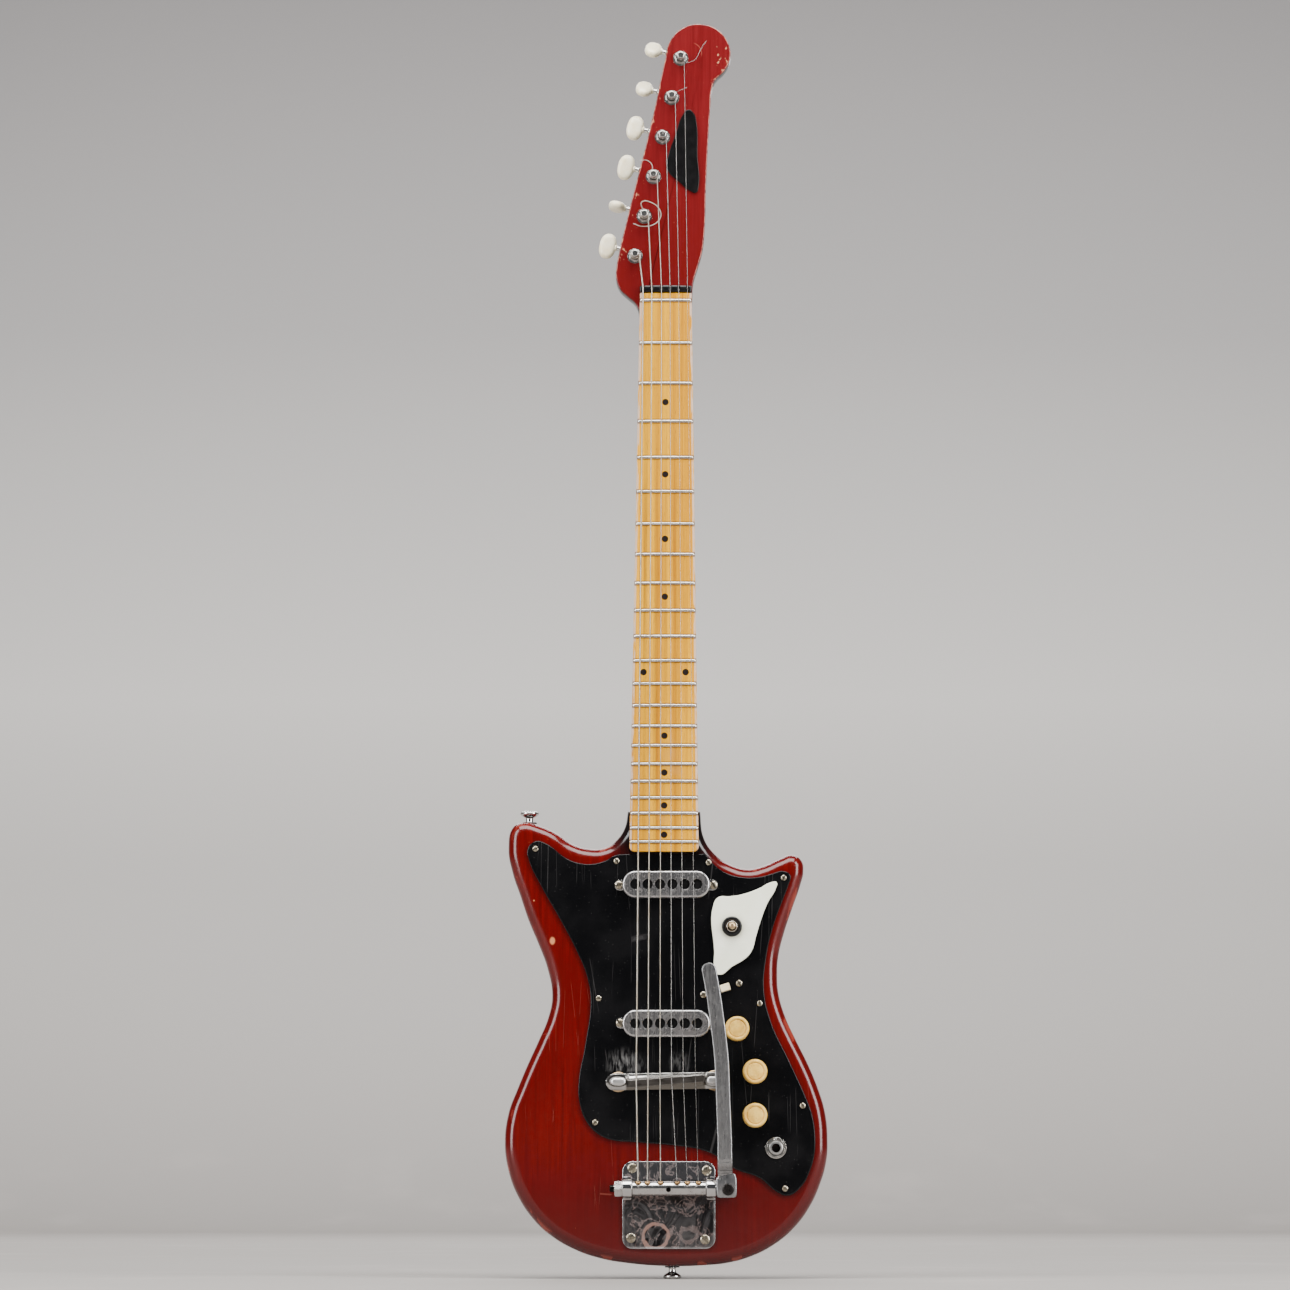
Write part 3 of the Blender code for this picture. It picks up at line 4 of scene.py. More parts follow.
import bmesh
import bpy
import numpy as np
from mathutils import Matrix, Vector

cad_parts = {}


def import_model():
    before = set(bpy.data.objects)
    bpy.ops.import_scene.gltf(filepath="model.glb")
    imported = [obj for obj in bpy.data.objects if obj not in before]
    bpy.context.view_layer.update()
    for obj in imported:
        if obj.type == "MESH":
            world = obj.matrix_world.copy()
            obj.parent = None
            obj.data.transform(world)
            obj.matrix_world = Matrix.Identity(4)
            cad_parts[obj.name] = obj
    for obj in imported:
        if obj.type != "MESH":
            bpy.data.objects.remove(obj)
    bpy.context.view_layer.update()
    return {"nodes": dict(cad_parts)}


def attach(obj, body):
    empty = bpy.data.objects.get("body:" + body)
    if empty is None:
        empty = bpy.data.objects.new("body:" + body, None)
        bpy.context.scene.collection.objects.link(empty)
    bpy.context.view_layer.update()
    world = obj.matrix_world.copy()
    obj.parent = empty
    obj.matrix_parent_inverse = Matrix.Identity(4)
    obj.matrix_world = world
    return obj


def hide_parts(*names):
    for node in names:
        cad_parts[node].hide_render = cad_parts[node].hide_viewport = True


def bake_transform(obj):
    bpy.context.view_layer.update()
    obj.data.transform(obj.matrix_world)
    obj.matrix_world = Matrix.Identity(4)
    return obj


# Looks of a six-string electric guitar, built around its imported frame.
#
# Points are (x, z, height) in millimetres: x to the treble side, z up the neck, and height out of the
# body's front face. world() turns them into the frame's metres.

MM = 0.001
FACE_Y = -5.8
GAP = 0.3
SHARP = True

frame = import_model()

SCALE_LENGTH = 594.0
BRIDGE_Z = 150.75
ZERO_FRET_Z = BRIDGE_Z + SCALE_LENGTH
BOARD_TOP = 8.8
BOARD_LOW = 3.8
BOARD_END_Z = 320.0
BOARD_HEAD_Z = ZERO_FRET_Z + 6.0
NECK_TOP = 3.5
HEAD_BACK = -10.5
BODY_BACK = -36.0
GUARD_TOP = 2.3
SADDLE_TOP = 12.85
BAR_Z, BAR_HEIGHT, BAR_RADIUS = 67.4, 8.6, 5.65
LUGS = ((-33.0, -25.9), (29.9, 37.0))
POST_RADIUS, POST_WAIST = 3.0, 2.5
WRAP_TOP = 9.9
GUIDE_REST_Z = BOARD_HEAD_Z + 3.05
FRETS = range(22)
MARKED_FRETS = (3, 5, 7, 9, 12, 15, 17, 19, 21)
WORM_HEIGHT = -15.4
WORM_OFFSET = 7.0
GEAR_TEETH = 14
TUNER_FIRST = np.array((11.7, 937.3))
TUNER_LAST = np.array((-23.7, 780.7))
STRING_RADII = (0.60, 0.46, 0.34, 0.25, 0.20, 0.16)
STRING_X_GUIDE = (-17.5, -10.8, -3.3, 3.3, 10.0, 16.7)
STRING_X_BRIDGE = (-22.6, -13.8, -4.8, 3.8, 12.6, 21.8)
STRING_X_BAR = (-21.2, -14.2, -4.4, 8.0, 15.6, 23.8)

BODY_OUTLINE = (
    (26, 352, SHARP), (29, 331), (37.7, 318.7), (49.8, 311), (61.8, 308), (74, 310.4), (86, 315.7),
    (96, 318.8), (103, 314), (104.3, 306), (102, 296), (95.7, 278), (89.6, 260), (85, 241.5), (84.1, 228),
    (85, 214), (90.1, 196), (98.3, 178), (107.2, 160), (114.6, 142), (119.8, 124), (121.5, 104),
    (120.4, 87), (115.7, 70.6), (107.4, 53), (95, 37), (80, 25), (64, 17), (48, 12.4), (28, 10.2), (0, 9.7),
    (-26, 11.5), (-50, 15.5), (-70, 22.5), (-87, 32.5), (-100, 44.5), (-111.8, 62), (-118.6, 80),
    (-121.5, 101), (-118.8, 124), (-112.1, 142), (-104.6, 160), (-96.4, 178), (-89, 196), (-86.2, 212),
    (-89.8, 232.5), (-96.7, 251), (-104.3, 269), (-110.4, 287), (-116.5, 305), (-119.7, 324), (-116, 340),
    (-108, 343.5), (-95, 340.5), (-83, 335), (-71, 327), (-59, 323.5), (-47, 324), (-38, 329.5),
    (-31.5, 339), (-29, 352, SHARP),
)
HEAD_OUTLINE = (
    (-20.2, 730, SHARP), (-20.5, 736), (-23.5, 743.5), (-29, 748.5), (-35.5, 755), (-38.3, 763.5),
    (-38.3, 770), (-35.3, 787), (-29.2, 813), (-23.3, 837), (-15, 870), (-7.5, 903), (-0.8, 935),
    (3.5, 951.5), (13, 961.7), (25.7, 965), (39.5, 961), (48.5, 950), (50.3, 938), (45.5, 927.5),
    (38.7, 920.5), (35.6, 912), (34.8, 900), (33.3, 877), (31.3, 837), (30, 800), (28.3, 785),
    (25, 773), (21.3, 760), (20.4, 748), (20.2, 730, SHARP),
)
BADGE_OUTLINE = (
    (17.5, 896.2), (21.7, 893.5), (23.8, 887), (24.6, 860), (25.3, 834.5), (23.6, 830.6), (19.2, 831.7),
    (10, 839.5), (2.3, 846.8), (0.8, 852.5), (2, 860), (7.5, 876), (13.5, 892.5),
)
GUARD_OUTLINE = (
    (27.3, 318.5, SHARP), (29.5, 319.2, SHARP), (36, 311), (45, 304.5), (57.5, 301), (70, 301.2),
    (80, 303.6), (88.5, 305.7), (94, 302.5), (92.5, 295), (88.7, 285), (81, 264), (75.5, 240),
    (73.8, 215), (78.7, 192.5), (92.5, 162.5), (105, 135), (109.5, 122.5), (111.7, 108), (111.2, 93),
    (107.5, 80), (101, 68.5), (91, 62), (82.5, 65), (70, 75), (50, 82.5), (40, 90), (30, 95), (20, 97.5),
    (5, 99.5), (-25, 102), (-42, 103.7), (-52.5, 108.7), (-60, 117), (-65, 130), (-66, 145), (-61, 175),
    (-57, 207), (-59.5, 225), (-67.5, 245), (-80, 268.7), (-95, 295), (-104, 314), (-105, 322),
    (-99, 328.3), (-92, 327), (-75, 315), (-66, 311.7), (-56, 311), (-46, 313.5), (-38, 317.8),
    (-30.5, 318.5, SHARP),
)
CORNER_OUTLINE = (
    (36, 281), (39.5, 285.7), (48, 286.4), (58, 288), (70, 292.3), (80, 297.2), (83.6, 297),
    (83, 292.5), (76.5, 281), (71.5, 268), (67.5, 255), (65.2, 246.5), (61, 240.5), (50, 233.5),
    (39.5, 227.2), (37, 230), (36.2, 245),
)
CONTROL_OUTLINE = (
    (26, 232, SHARP), (64, 232, SHARP), (64, 200), (76, 188), (82, 165), (82, 130), (92, 114), (95, 98),
    (90, 84), (80, 80), (66, 88), (54, 106), (50, 130), (48, 160), (41, 176), (38, 197), (26, 202, SHARP),
)
PICKUP_Z = (295.3, 190.5)
KNOBS = ((53.2, 186.5), (66.6, 154.4), (66.5, 121.7))
SLIDE_CENTRE, SLIDE_ANGLE = (41.5, 216.6), math.radians(17.5)
TOGGLE = (49.6, 263.5)
JACK = (82.3, 97.5)
FOOT_X = 36.0
ARM_PIVOT = (46.0, 66.5)


# ---------------------------------------------------------------- shapes
#
# A shape is (points, faces): an array of points and a list of faces that index it.


def world(points):
    """(x, z, height) in millimetres to the frame's metres: (x, FACE_Y - height, z) / 1000."""
    points = np.asarray(points, float)
    return np.stack((points[..., 0], FACE_Y - points[..., 2], points[..., 1]), -1) * MM


def unit(vectors):
    """Each vector divided by its length."""
    vectors = np.asarray(vectors, float)
    return vectors / np.linalg.norm(vectors, axis=-1, keepdims=True)


def skin(rows, ring=True, caps=True):
    """Quads between neighbouring rows of an (n, m, 3) array. A ring closes each row on itself, and caps
    close the first and the last row with one face each."""
    rows = np.asarray(rows, float)
    count, size = rows.shape[:2]
    index = np.arange(count * size).reshape(count, size)
    after = np.roll(index, -1, axis=1) if ring else index[:, 1:]
    here = index if ring else index[:, :-1]
    quads = np.stack((here[:-1], after[:-1], after[1:], here[1:]), -1).reshape(-1, 4)
    faces = quads.tolist()
    if caps:
        faces += [index[0][::-1].tolist(), index[-1].tolist()]
    return rows.reshape(-1, 3), faces


def merge(*shapes):
    """Several shapes as one."""
    points, faces, start = [], [], 0
    for some_points, some_faces in shapes:
        points.append(np.asarray(some_points, float))
        faces += [[index + start for index in face] for face in some_faces]
        start += len(some_points)
    return np.concatenate(points), faces


def moved(shape, offset=(0, 0, 0), turn=0.0):
    """The shape turned about its own height axis, then shifted."""
    points, faces = shape
    c, s = math.cos(turn), math.sin(turn)
    x, z, height = points.T
    return np.stack((c * x - s * z, s * x + c * z, height), -1) + np.asarray(offset, float), faces


def framed(shape, start, axes):
    """The shape's own x, y and z laid along three given unit vectors, from a start point."""
    points, faces = shape
    return np.asarray(start, float) + points @ np.asarray(axes, float), faces


def smooth_outline(outline, steps=6):
    """A closed cubic Bezier curve through the points. At a smooth point the handles lie along the sum of
    the unit vectors to its neighbours; at a SHARP one they point straight at the neighbours."""
    points = np.array([point[:2] for point in outline], float)
    sharp = np.array([len(point) > 2 for point in outline])[:, None]
    to_last, to_next = points - np.roll(points, 1, 0), np.roll(points, -1, 0) - points
    long_last = np.linalg.norm(to_last, axis=1, keepdims=True)
    long_next = np.linalg.norm(to_next, axis=1, keepdims=True)
    lean = to_next / long_next + to_last / long_last
    length = np.linalg.norm(lean, axis=1, keepdims=True) * 2.5614
    leaving = np.where(sharp, points + to_next / 3, points + lean * long_next / length)
    arriving = np.where(sharp, points - to_last / 3, points - lean * long_last / length)
    t = (np.arange(steps) / steps)[None, :, None]
    p0, p1 = points[:, None], leaving[:, None]
    p2, p3 = np.roll(arriving, -1, 0)[:, None], np.roll(points, -1, 0)[:, None]
    curve = (1 - t) ** 3 * p0 + 3 * t * (1 - t) ** 2 * p1 + 3 * t**2 * (1 - t) * p2 + t**3 * p3
    return curve.reshape(-1, 2)


def stadium(width, length, corner, steps=8):
    """A rectangle with round corners, centred: four quarter arcs, one after another."""
    quarter = np.repeat(np.arange(4), steps + 1)
    angle = math.pi / 2 * (quarter + np.tile(np.linspace(0, 1, steps + 1), 4))
    side = np.array((1, -1, -1, 1))[quarter] * (width / 2 - corner)
    end = np.array((1, 1, -1, -1))[quarter] * (length / 2 - corner)
    return np.stack((side + corner * np.cos(angle), end + corner * np.sin(angle)), -1)


def inset(outline, distance):
    """The outline moved inwards along its normals, by no more than the radius d = |q - p|^2 / (2 n.(q - p))
    of the largest circle that fits inside it there, taken over every other point q."""
    edge = unit(np.roll(outline, -1, 0) - outline)
    onward = unit(edge + np.roll(edge, 1, 0))
    area = np.sum(outline[:, 0] * np.roll(outline[:, 1], -1) - outline[:, 1] * np.roll(outline[:, 0], -1))
    normal = np.stack((-onward[:, 1], onward[:, 0]), -1) * np.sign(area)
    apart = outline[None] - outline[:, None]
    facing = (apart * normal[:, None]).sum(-1)
    index = np.arange(len(outline))
    steps = np.abs(index[None] - index[:, None])
    beside = np.minimum(steps, len(outline) - steps) < 2
    room = (apart**2).sum(-1) / np.where((facing > 1e-6) & ~beside, 2 * facing, 1e-9)
    room[beside] = 1e9
    return outline + normal * np.minimum(distance, 0.93 * room.min(1))[:, None]


def slab(outline, low, high, front=0.0, back=0.0, steps=6):
    """A plate between two heights. Its rows are the outline moved inwards by r (1 - sin a) and out by
    r (1 - cos a) on each rounded edge, with one more row inside each edge so that the flats stay flat."""
    angle = np.linspace(0, math.pi / 2, steps + 1)
    rows = []
    if back > 0:
        rows += [(back + 0.3, low)]
        rows += [(back * (1 - math.sin(a)), low + back * (1 - math.cos(a))) for a in angle]
    else:
        rows += [(0.05, low), (0.0, low)]
    if front > 0:
        rows += [(front * (1 - math.sin(a)), high - front * (1 - math.cos(a))) for a in angle[::-1]]
        rows += [(front + 0.3, high)]
    else:
        rows += [(0.0, high), (0.05, high)]
    rings = []
    for distance, height in rows:
        ring = inset(outline, distance) if distance else outline
        rings.append(np.column_stack((ring, np.full(len(ring), height))))
    return skin(np.array(rings))


def soften(profile, radius, steps=4):
    """Each inner corner p of a profile replaced by the quadratic curve (1-t)^2 a + 2t(1-t) p + t^2 b, whose
    ends a and b lie on the two sides that meet in p."""
    points = [np.asarray(point, float) for point in profile]
    out = [points[0]]
    for before, here, after in zip(points, points[1:], points[2:]):
        reach = min(radius, 0.45 * math.dist(before, here), 0.45 * math.dist(here, after))
        start, end = here + unit(before - here) * reach, here + unit(after - here) * reach
        t = np.linspace(0, 1, steps + 1)[:, None]
        out += list((1 - t) ** 2 * start + 2 * t * (1 - t) * here + t**2 * end)
    return np.array(out + [points[-1]])


def lathe(profile, segments=48, sides=0, across=0.0, turn=0.0):
    """A profile of (radius, along) turned about the third axis: (r cos a, r sin a, along). It starts and ends
    on the axis. With sides, r is no more than (across / 2) / cos(a - the middle of the nearest flat)."""
    profile = np.asarray(profile, float)
    angle = turn + math.tau * np.arange(segments) / segments
    radius = np.repeat(profile[:, :1], segments, 1)
    if sides:
        corner = (angle - turn + math.pi / sides) % (math.tau / sides) - math.pi / sides
        radius = np.minimum(radius, across / 2 / np.cos(corner))
    rows = np.stack(
        (radius * np.cos(angle), radius * np.sin(angle), np.repeat(profile[:, 1:], segments, 1)), -1
    )
    return skin(rows, caps=False)


def ring_body(profile, segments=48, **options):
    """A closed profile of (radius, along) that never meets the axis, turned about the third axis."""
    return lathe(np.vstack((profile, profile[:1])), segments, **options)


def tube(path, radius, sides=12, reference=(0, 0, 1)):
    """A round section carried along a path. Its two axes are the cross products of the path's direction
    with a reference vector, so they never twist."""
    path = np.asarray(path, float)
    along = unit(np.gradient(path, axis=0))
    side = unit(np.cross(along, reference))
    up = np.cross(side, along)
    angle = math.tau * np.arange(sides) / sides
    radius = np.broadcast_to(np.asarray(radius, float), (len(path),))[:, None, None]
    ring = np.cos(angle)[:, None] * side[:, None] + np.sin(angle)[:, None] * up[:, None]
    return skin(path[:, None] + radius * ring)


def spline(points, steps=8):
    """An open Catmull-Rom curve through the points."""
    points = np.asarray(points, float)
    padded = np.vstack((2 * points[0] - points[1], points, 2 * points[-1] - points[-2]))
    t = (np.arange(steps) / steps)[None, :, None]
    a, b, c, d = (padded[k : len(padded) - 3 + k][:, None] for k in range(4))
    curve = 0.5 * (2 * b + (c - a) * t + (2 * a - 5 * b + 4 * c - d) * t**2 + (3 * b - a - 3 * c + d) * t**3)
    return np.vstack((curve.reshape(-1, points.shape[1]), points[-1]))


def to_mesh(name, shape):
    """The shape as a mesh in the frame, with doubles merged and every face pointing outwards."""
    points, faces = shape
    mesh = bpy.data.meshes.new(name)
    mesh.from_pydata(world(points).tolist(), [], faces)
    work = bmesh.new()
    work.from_mesh(mesh)
    bmesh.ops.remove_doubles(work, verts=work.verts, dist=1e-6)
    bmesh.ops.dissolve_degenerate(work, edges=work.edges, dist=1e-7)
    bmesh.ops.recalc_face_normals(work, faces=work.faces)
    work.to_mesh(mesh)
    work.free()
    return mesh


def carved(shape, *cutters, operation="DIFFERENCE"):
    """The shape with the cutters taken away or joined on."""
    holder = bpy.data.objects.new("carving", to_mesh("carving", shape))
    bpy.context.scene.collection.objects.link(holder)
    tools = []
    for cutter in cutters:
        tool = bpy.data.objects.new("tool", to_mesh("tool", cutter))
        bpy.context.scene.collection.objects.link(tool)
        tools.append(tool)
        modifier = holder.modifiers.new("carve", "BOOLEAN")
        modifier.operation = operation
        modifier.object = tool
    graph = bpy.context.evaluated_depsgraph_get()
    mesh = bpy.data.meshes.new_from_object(holder.evaluated_get(graph))
    points = np.empty(len(mesh.vertices) * 3)
    mesh.vertices.foreach_get("co", points)
    points = points.reshape(-1, 3) / MM
    faces = [list(polygon.vertices) for polygon in mesh.polygons]
    for obj in (holder, *tools):
        bpy.data.objects.remove(obj)
    return np.stack((points[:, 0], points[:, 2], FACE_Y - points[:, 1]), -1), faces


def add_piece(name, shape, material, body="guitar", replaces=(), angle=35.0):
    """The shape as a finished piece that rides on a body of the frame."""
    mesh = to_mesh(name, shape)
    mesh.materials.append(material)
    mesh.shade_smooth()
    mesh.set_sharp_from_angle(angle=math.radians(angle))
    piece = bpy.data.objects.new(name, mesh)
    bpy.context.scene.collection.objects.link(piece)
    if body:
        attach(piece, body)
    if replaces:
        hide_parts(*replaces)
    return piece


# ---------------------------------------------------------------- where things are


def board_centre(z):
    """The board's middle leans from 0 at the zero fret to -1.65 at the body end."""
    return -1.65 * (ZERO_FRET_Z - z) / (ZERO_FRET_Z - BOARD_END_Z)


def board_half_width(z):
    """The board widens from 40 to 52.6 mm."""
    return (40.0 + 12.6 * (ZERO_FRET_Z - z) / (ZERO_FRET_Z - BOARD_END_Z)) / 2


def fret_z(number):
    """Equal temperament: the string's length at fret n is the scale divided by 2^(n / 12)."""
    return BRIDGE_Z + SCALE_LENGTH / 2 ** (number / 12)


def tuner_spot(index):
    """The posts stand evenly on one line."""
    return TUNER_FIRST + (TUNER_LAST - TUNER_FIRST) * index / 5


def saddle_z(x):
    """The saddle ridge leans by 2.2 mm in 29."""
    return 149.9 + 2.2 * x / 29.0


def foot_z(side):
    """The bridge's feet, on the bass side (-1) and the treble side (1)."""
    return 147.3 + side * 0.6


ROW = unit(TUNER_FIRST - TUNER_LAST)
ROW_TURN = math.atan2(ROW[1], ROW[0])
AWAY = np.array((-ROW[1], ROW[0]))
OUTWARD = (0, 0, 1)
ROW_3, AWAY_3 = (*ROW, 0), (*AWAY, 0)
ALONG_X = ((0, 1, 0), OUTWARD, (1, 0, 0))
ALONG_Z = ((1, 0, 0), OUTWARD, (0, 1, 0))
BALL_LEAN = math.radians(48)
BALL_AXIS = np.array((0, math.sin(BALL_LEAN), math.cos(BALL_LEAN)))


# ---------------------------------------------------------------- materials


class Wire:
    """A socket of one material's nodes. Arithmetic on it adds Math nodes, and add() adds any other node."""

    def __init__(self, tree, socket=None):
        self.tree, self.socket = tree, socket

    def add(self, kind, settings=None, sockets=None, output=0):
        """A node of this type: its settings first, then a value or a wire for each named socket."""
        node = self.tree.nodes.new(kind)
        for name, value in (settings or {}).items():
            if name == "stops":
                ramp = node.color_ramp
                while len(ramp.elements) < len(value):
                    ramp.elements.new(1.0)
                for element, (place, colour) in zip(ramp.elements, value):
                    element.position = place
                    element.color = (*colour, 1.0) if isinstance(colour, tuple) else (colour,) * 3 + (1.0,)
            else:
                setattr(node, name, value)
        for name, value in (sockets or {}).items():
            if isinstance(value, Wire):
                self.tree.links.new(value.socket, node.inputs[name])
            elif isinstance(value, tuple) and len(value) == 3 and node.inputs[name].type == "RGBA":
                node.inputs[name].default_value = (*value, 1.0)
            else:
                node.inputs[name].default_value = value
        return Wire(self.tree, node.outputs[output] if node.outputs else None)

    def maths(self, operation, *values):
        return self.add("ShaderNodeMath", {"operation": operation}, dict(enumerate(values)))

    def __add__(self, other):
        return self.maths("ADD", self, other)

    def __sub__(self, other):
        return self.maths("SUBTRACT", self, other)

    def __rsub__(self, other):
        return self.maths("SUBTRACT", other, self)

    def __mul__(self, other):
        return self.maths("MULTIPLY", self, other)

    def __truediv__(self, other):
        return self.maths("DIVIDE", self, other)

    def __pow__(self, other):
        return self.maths("POWER", self, other)

    def __abs__(self):
        return self.maths("ABSOLUTE", self)

    __radd__, __rmul__ = __add__, __mul__

    def above(self, low, high):
        """0 below low, 1 above high, and a smooth step between. With low over high it falls instead."""
        falls = low > high
        sockets = {0: self, 1: min(low, high), 2: max(low, high)}
        step = self.add("ShaderNodeMapRange", {"interpolation_type": "SMOOTHSTEP"}, sockets)
        return 1.0 - step if falls else step

    def ramp(self, *stops):
        """A colour ramp over (place, colour) stops."""
        return self.add("ShaderNodeValToRGB", {"stops": stops}, {0: self})

    def mixed(self, other, share):
        """This colour with another one laid over it by a share."""
        return self.add(
            "ShaderNodeMix", {"data_type": "RGBA", "clamp_factor": True}, {0: share, 6: self, 7: other}, 2
        )

    def most(self, other):
        """The larger of the two, which lays one set of marks over another."""
        return self.maths("MAXIMUM", self, other)

    def least(self, other):
        """The smaller of the two."""
        return self.maths("MINIMUM", self, other)


class Finish:
    """A material under way: its place on the object in millimetres, patterns, and its shader."""

    def __init__(self, name):
        self.material = bpy.data.materials.new(name)
        self.material.use_nodes = True
        tree = self.material.node_tree
        tree.nodes.clear()
        self.base = Wire(tree)
        spot = self.base.add("ShaderNodeTexCoord", output="Object")
        self.place = self.base.add("ShaderNodeVectorMath", {"operation": "SCALE"}, {0: spot, "Scale": 1000.0})
        parts = tree.nodes.new("ShaderNodeSeparateXYZ")
        tree.links.new(self.place.socket, parts.inputs[0])
        self.x, self.y, self.z = (Wire(tree, output) for output in parts.outputs)
        self.height = FACE_Y - self.y

    def solid(self, rgb):
        """One plain colour, to mix others into."""
        wire = self.base.add("ShaderNodeRGB")
        wire.socket.default_value = (*rgb, 1.0)
        return wire

    def noise(self, scale, detail=3.0, stretch=(1, 1, 1), distortion=0.0, roughness=0.5, shift=(0, 0, 0)):
        """Soft noise of about 0.3 to 0.7, in features of 1 / scale millimetres."""
        placed = {"Vector": self.place, "Scale": stretch, "Location": shift}
        vector = self.base.add("ShaderNodeMapping", None, placed)
        sockets = {"Vector": vector, "Scale": scale, "Detail": detail}
        sockets.update({"Distortion": distortion, "Roughness": roughness})
        return self.base.add("ShaderNodeTexNoise", None, sockets)

    def cells(self, scale, stretch, output):
        """Voronoi cells: the distance to a cell's point, or the cell's own colour."""
        vector = self.base.add("ShaderNodeMapping", None, {"Vector": self.place, "Scale": stretch})
        return self.base.add("ShaderNodeTexVoronoi", None, {"Vector": vector, "Scale": scale}, output)

    def specks(self, scale, size, share=1.0, stretch=(1, 1, 1)):
        """Small round marks, one in some of the cells of a Voronoi pattern."""
        chosen = self.base.add("ShaderNodeSeparateColor", None, {0: self.cells(scale, stretch, "Color")})
        marks = self.cells(scale, stretch, "Distance").above(size, size * 0.4)
        return marks * chosen.above(1.0 - share, 1.0 - share + 0.02)

    def scratches(self, scale, lean, width=0.02, thin=18.0):
        """Fine straight lines: the edges of Voronoi cells stretched along one direction."""
        turned = {"Vector": self.place, "Rotation": (0, lean, 0), "Scale": (1, 1, 1 / thin)}
        vector = self.base.add("ShaderNodeMapping", None, turned)
        sockets = {"Vector": vector, "Scale": scale}
        lines = self.base.add("ShaderNodeTexVoronoi", {"feature": "DISTANCE_TO_EDGE"}, sockets)
        return lines.above(width, width * 0.3)

    def away(self, x, z, squash=1.0):
        """The distance on the face from a spot, with heights up the neck counted squash times."""
        return ((self.x - x) ** 2.0 + ((self.z - z) * squash) ** 2.0) ** 0.5

    def near(self, x, z, radius, soft=0.5, squash=1.0):
        """1 inside a round spot on the face and 0 outside."""
        return self.away(x, z, squash).above(radius + soft, radius - soft)

    def bump(self, height, strength=0.3, distance=0.1):
        """The normal of a surface raised by this height, at a distance in millimetres."""
        sockets = {"Strength": strength, "Distance": distance * MM, "Height": height}
        return self.base.add("ShaderNodeBump", None, sockets)

    def done(self, **sockets):
        """Ends in the shader. Socket names are written with _ for a space."""
        named = {name.replace("_", " "): value for name, value in sockets.items()}
        shader = self.base.add("ShaderNodeBsdfPrincipled", None, named)
        self.base.add("ShaderNodeOutputMaterial", None, {0: shader})
        return self.material


def red_lacquer():
    """Cherry lacquer over vertical grain, nearly black round the neck joint, with dings and rubbed spots."""
    f = Finish("red_lacquer")
    grain = f.noise(0.35, 6.0, (1, 1, 0.04), 0.4, 0.65)
    cloud = f.noise(0.012, 2.0, shift=(7, 0, 3))
    deep = grain.ramp(
        (0.30, (0.062, 0.0008, 0.0007)), (0.5, (0.092, 0.0015, 0.0013)), (0.70, (0.124, 0.0027, 0.0023))
    )
    tone = deep.mixed((0.078, 0.0010, 0.0008), cloud.above(0.62, 0.36) * 0.7)
    low = f.z.above(120.0, 20.0)
    tone = tone.mixed((0.048, 0.0012, 0.0010), low * 0.6)
    reach = f.noise(0.03, 2.0) * 14.0 - 7.0
    burst = (abs(f.x + 1.0) + reach + (352.0 - f.z) * 0.35).above(62.0, 34.0) * f.z.above(296.0, 316.0)
    tone = tone.mixed((0.0040, 0.0016, 0.0015), burst)
    back = f.height.above(-8.0, -16.0)
    edge = f.height.above(-1.2, -3.6) * f.height.above(-9.0, -7.0)
    worn = edge * f.noise(0.06, 5.0, (1, 1, 0.5)).above(0.60, 0.66) * (1.0 - burst)
    tone = tone.mixed((0.36, 0.055, 0.030), worn * 0.45)
    chips = f.specks(0.07, 0.085, 0.16) * f.noise(0.02, 1.0).above(0.50, 0.56)
    chips = chips.most(f.near(-86.0, 253.0, 1.9, 0.6, 0.7))
    horn_chips = f.specks(0.11, 0.09, 0.10) * f.x.above(-74.0, -84.0) * f.z.above(180.0, 195.0)
    chips = chips.most(horn_chips) * (1.0 - burst)
    tone = tone.mixed((0.52, 0.20, 0.085), chips * 0.9)
    flecks = f.specks(0.28, 0.07, 0.10) * f.noise(0.03, 2.0, shift=(8, 1, 4)).above(0.46, 0.58)
    tone = tone.mixed((0.42, 0.13, 0.06), flecks * (1.0 - burst) * 0.7)
    lines = f.scratches(0.05, 0.9, 0.005, 14.0).most(f.scratches(0.045, 0.15, 0.004, 10.0))
    lines = lines * f.noise(0.02, 3.0, shift=(3, 3, 3)).above(0.56, 0.62) * (1.0 - burst)
    tone = tone.mixed((0.24, 0.05, 0.03), lines * 0.40)
    rough = f.noise(0.25, 4.0) * 0.10 + lines * 0.15 + worn * 0.15 + back * 0.03 + 0.14
    relief = f.noise(0.04, 2.0) + grain * 0.06 - chips * 0.5
    return f.done(
        Base_Color=tone, Roughness=rough, Coat_Weight=0.3, Coat_Roughness=0.10, Specular_IOR_Level=0.3,
        Normal=f.bump(relief, 0.25, 0.6),
    )


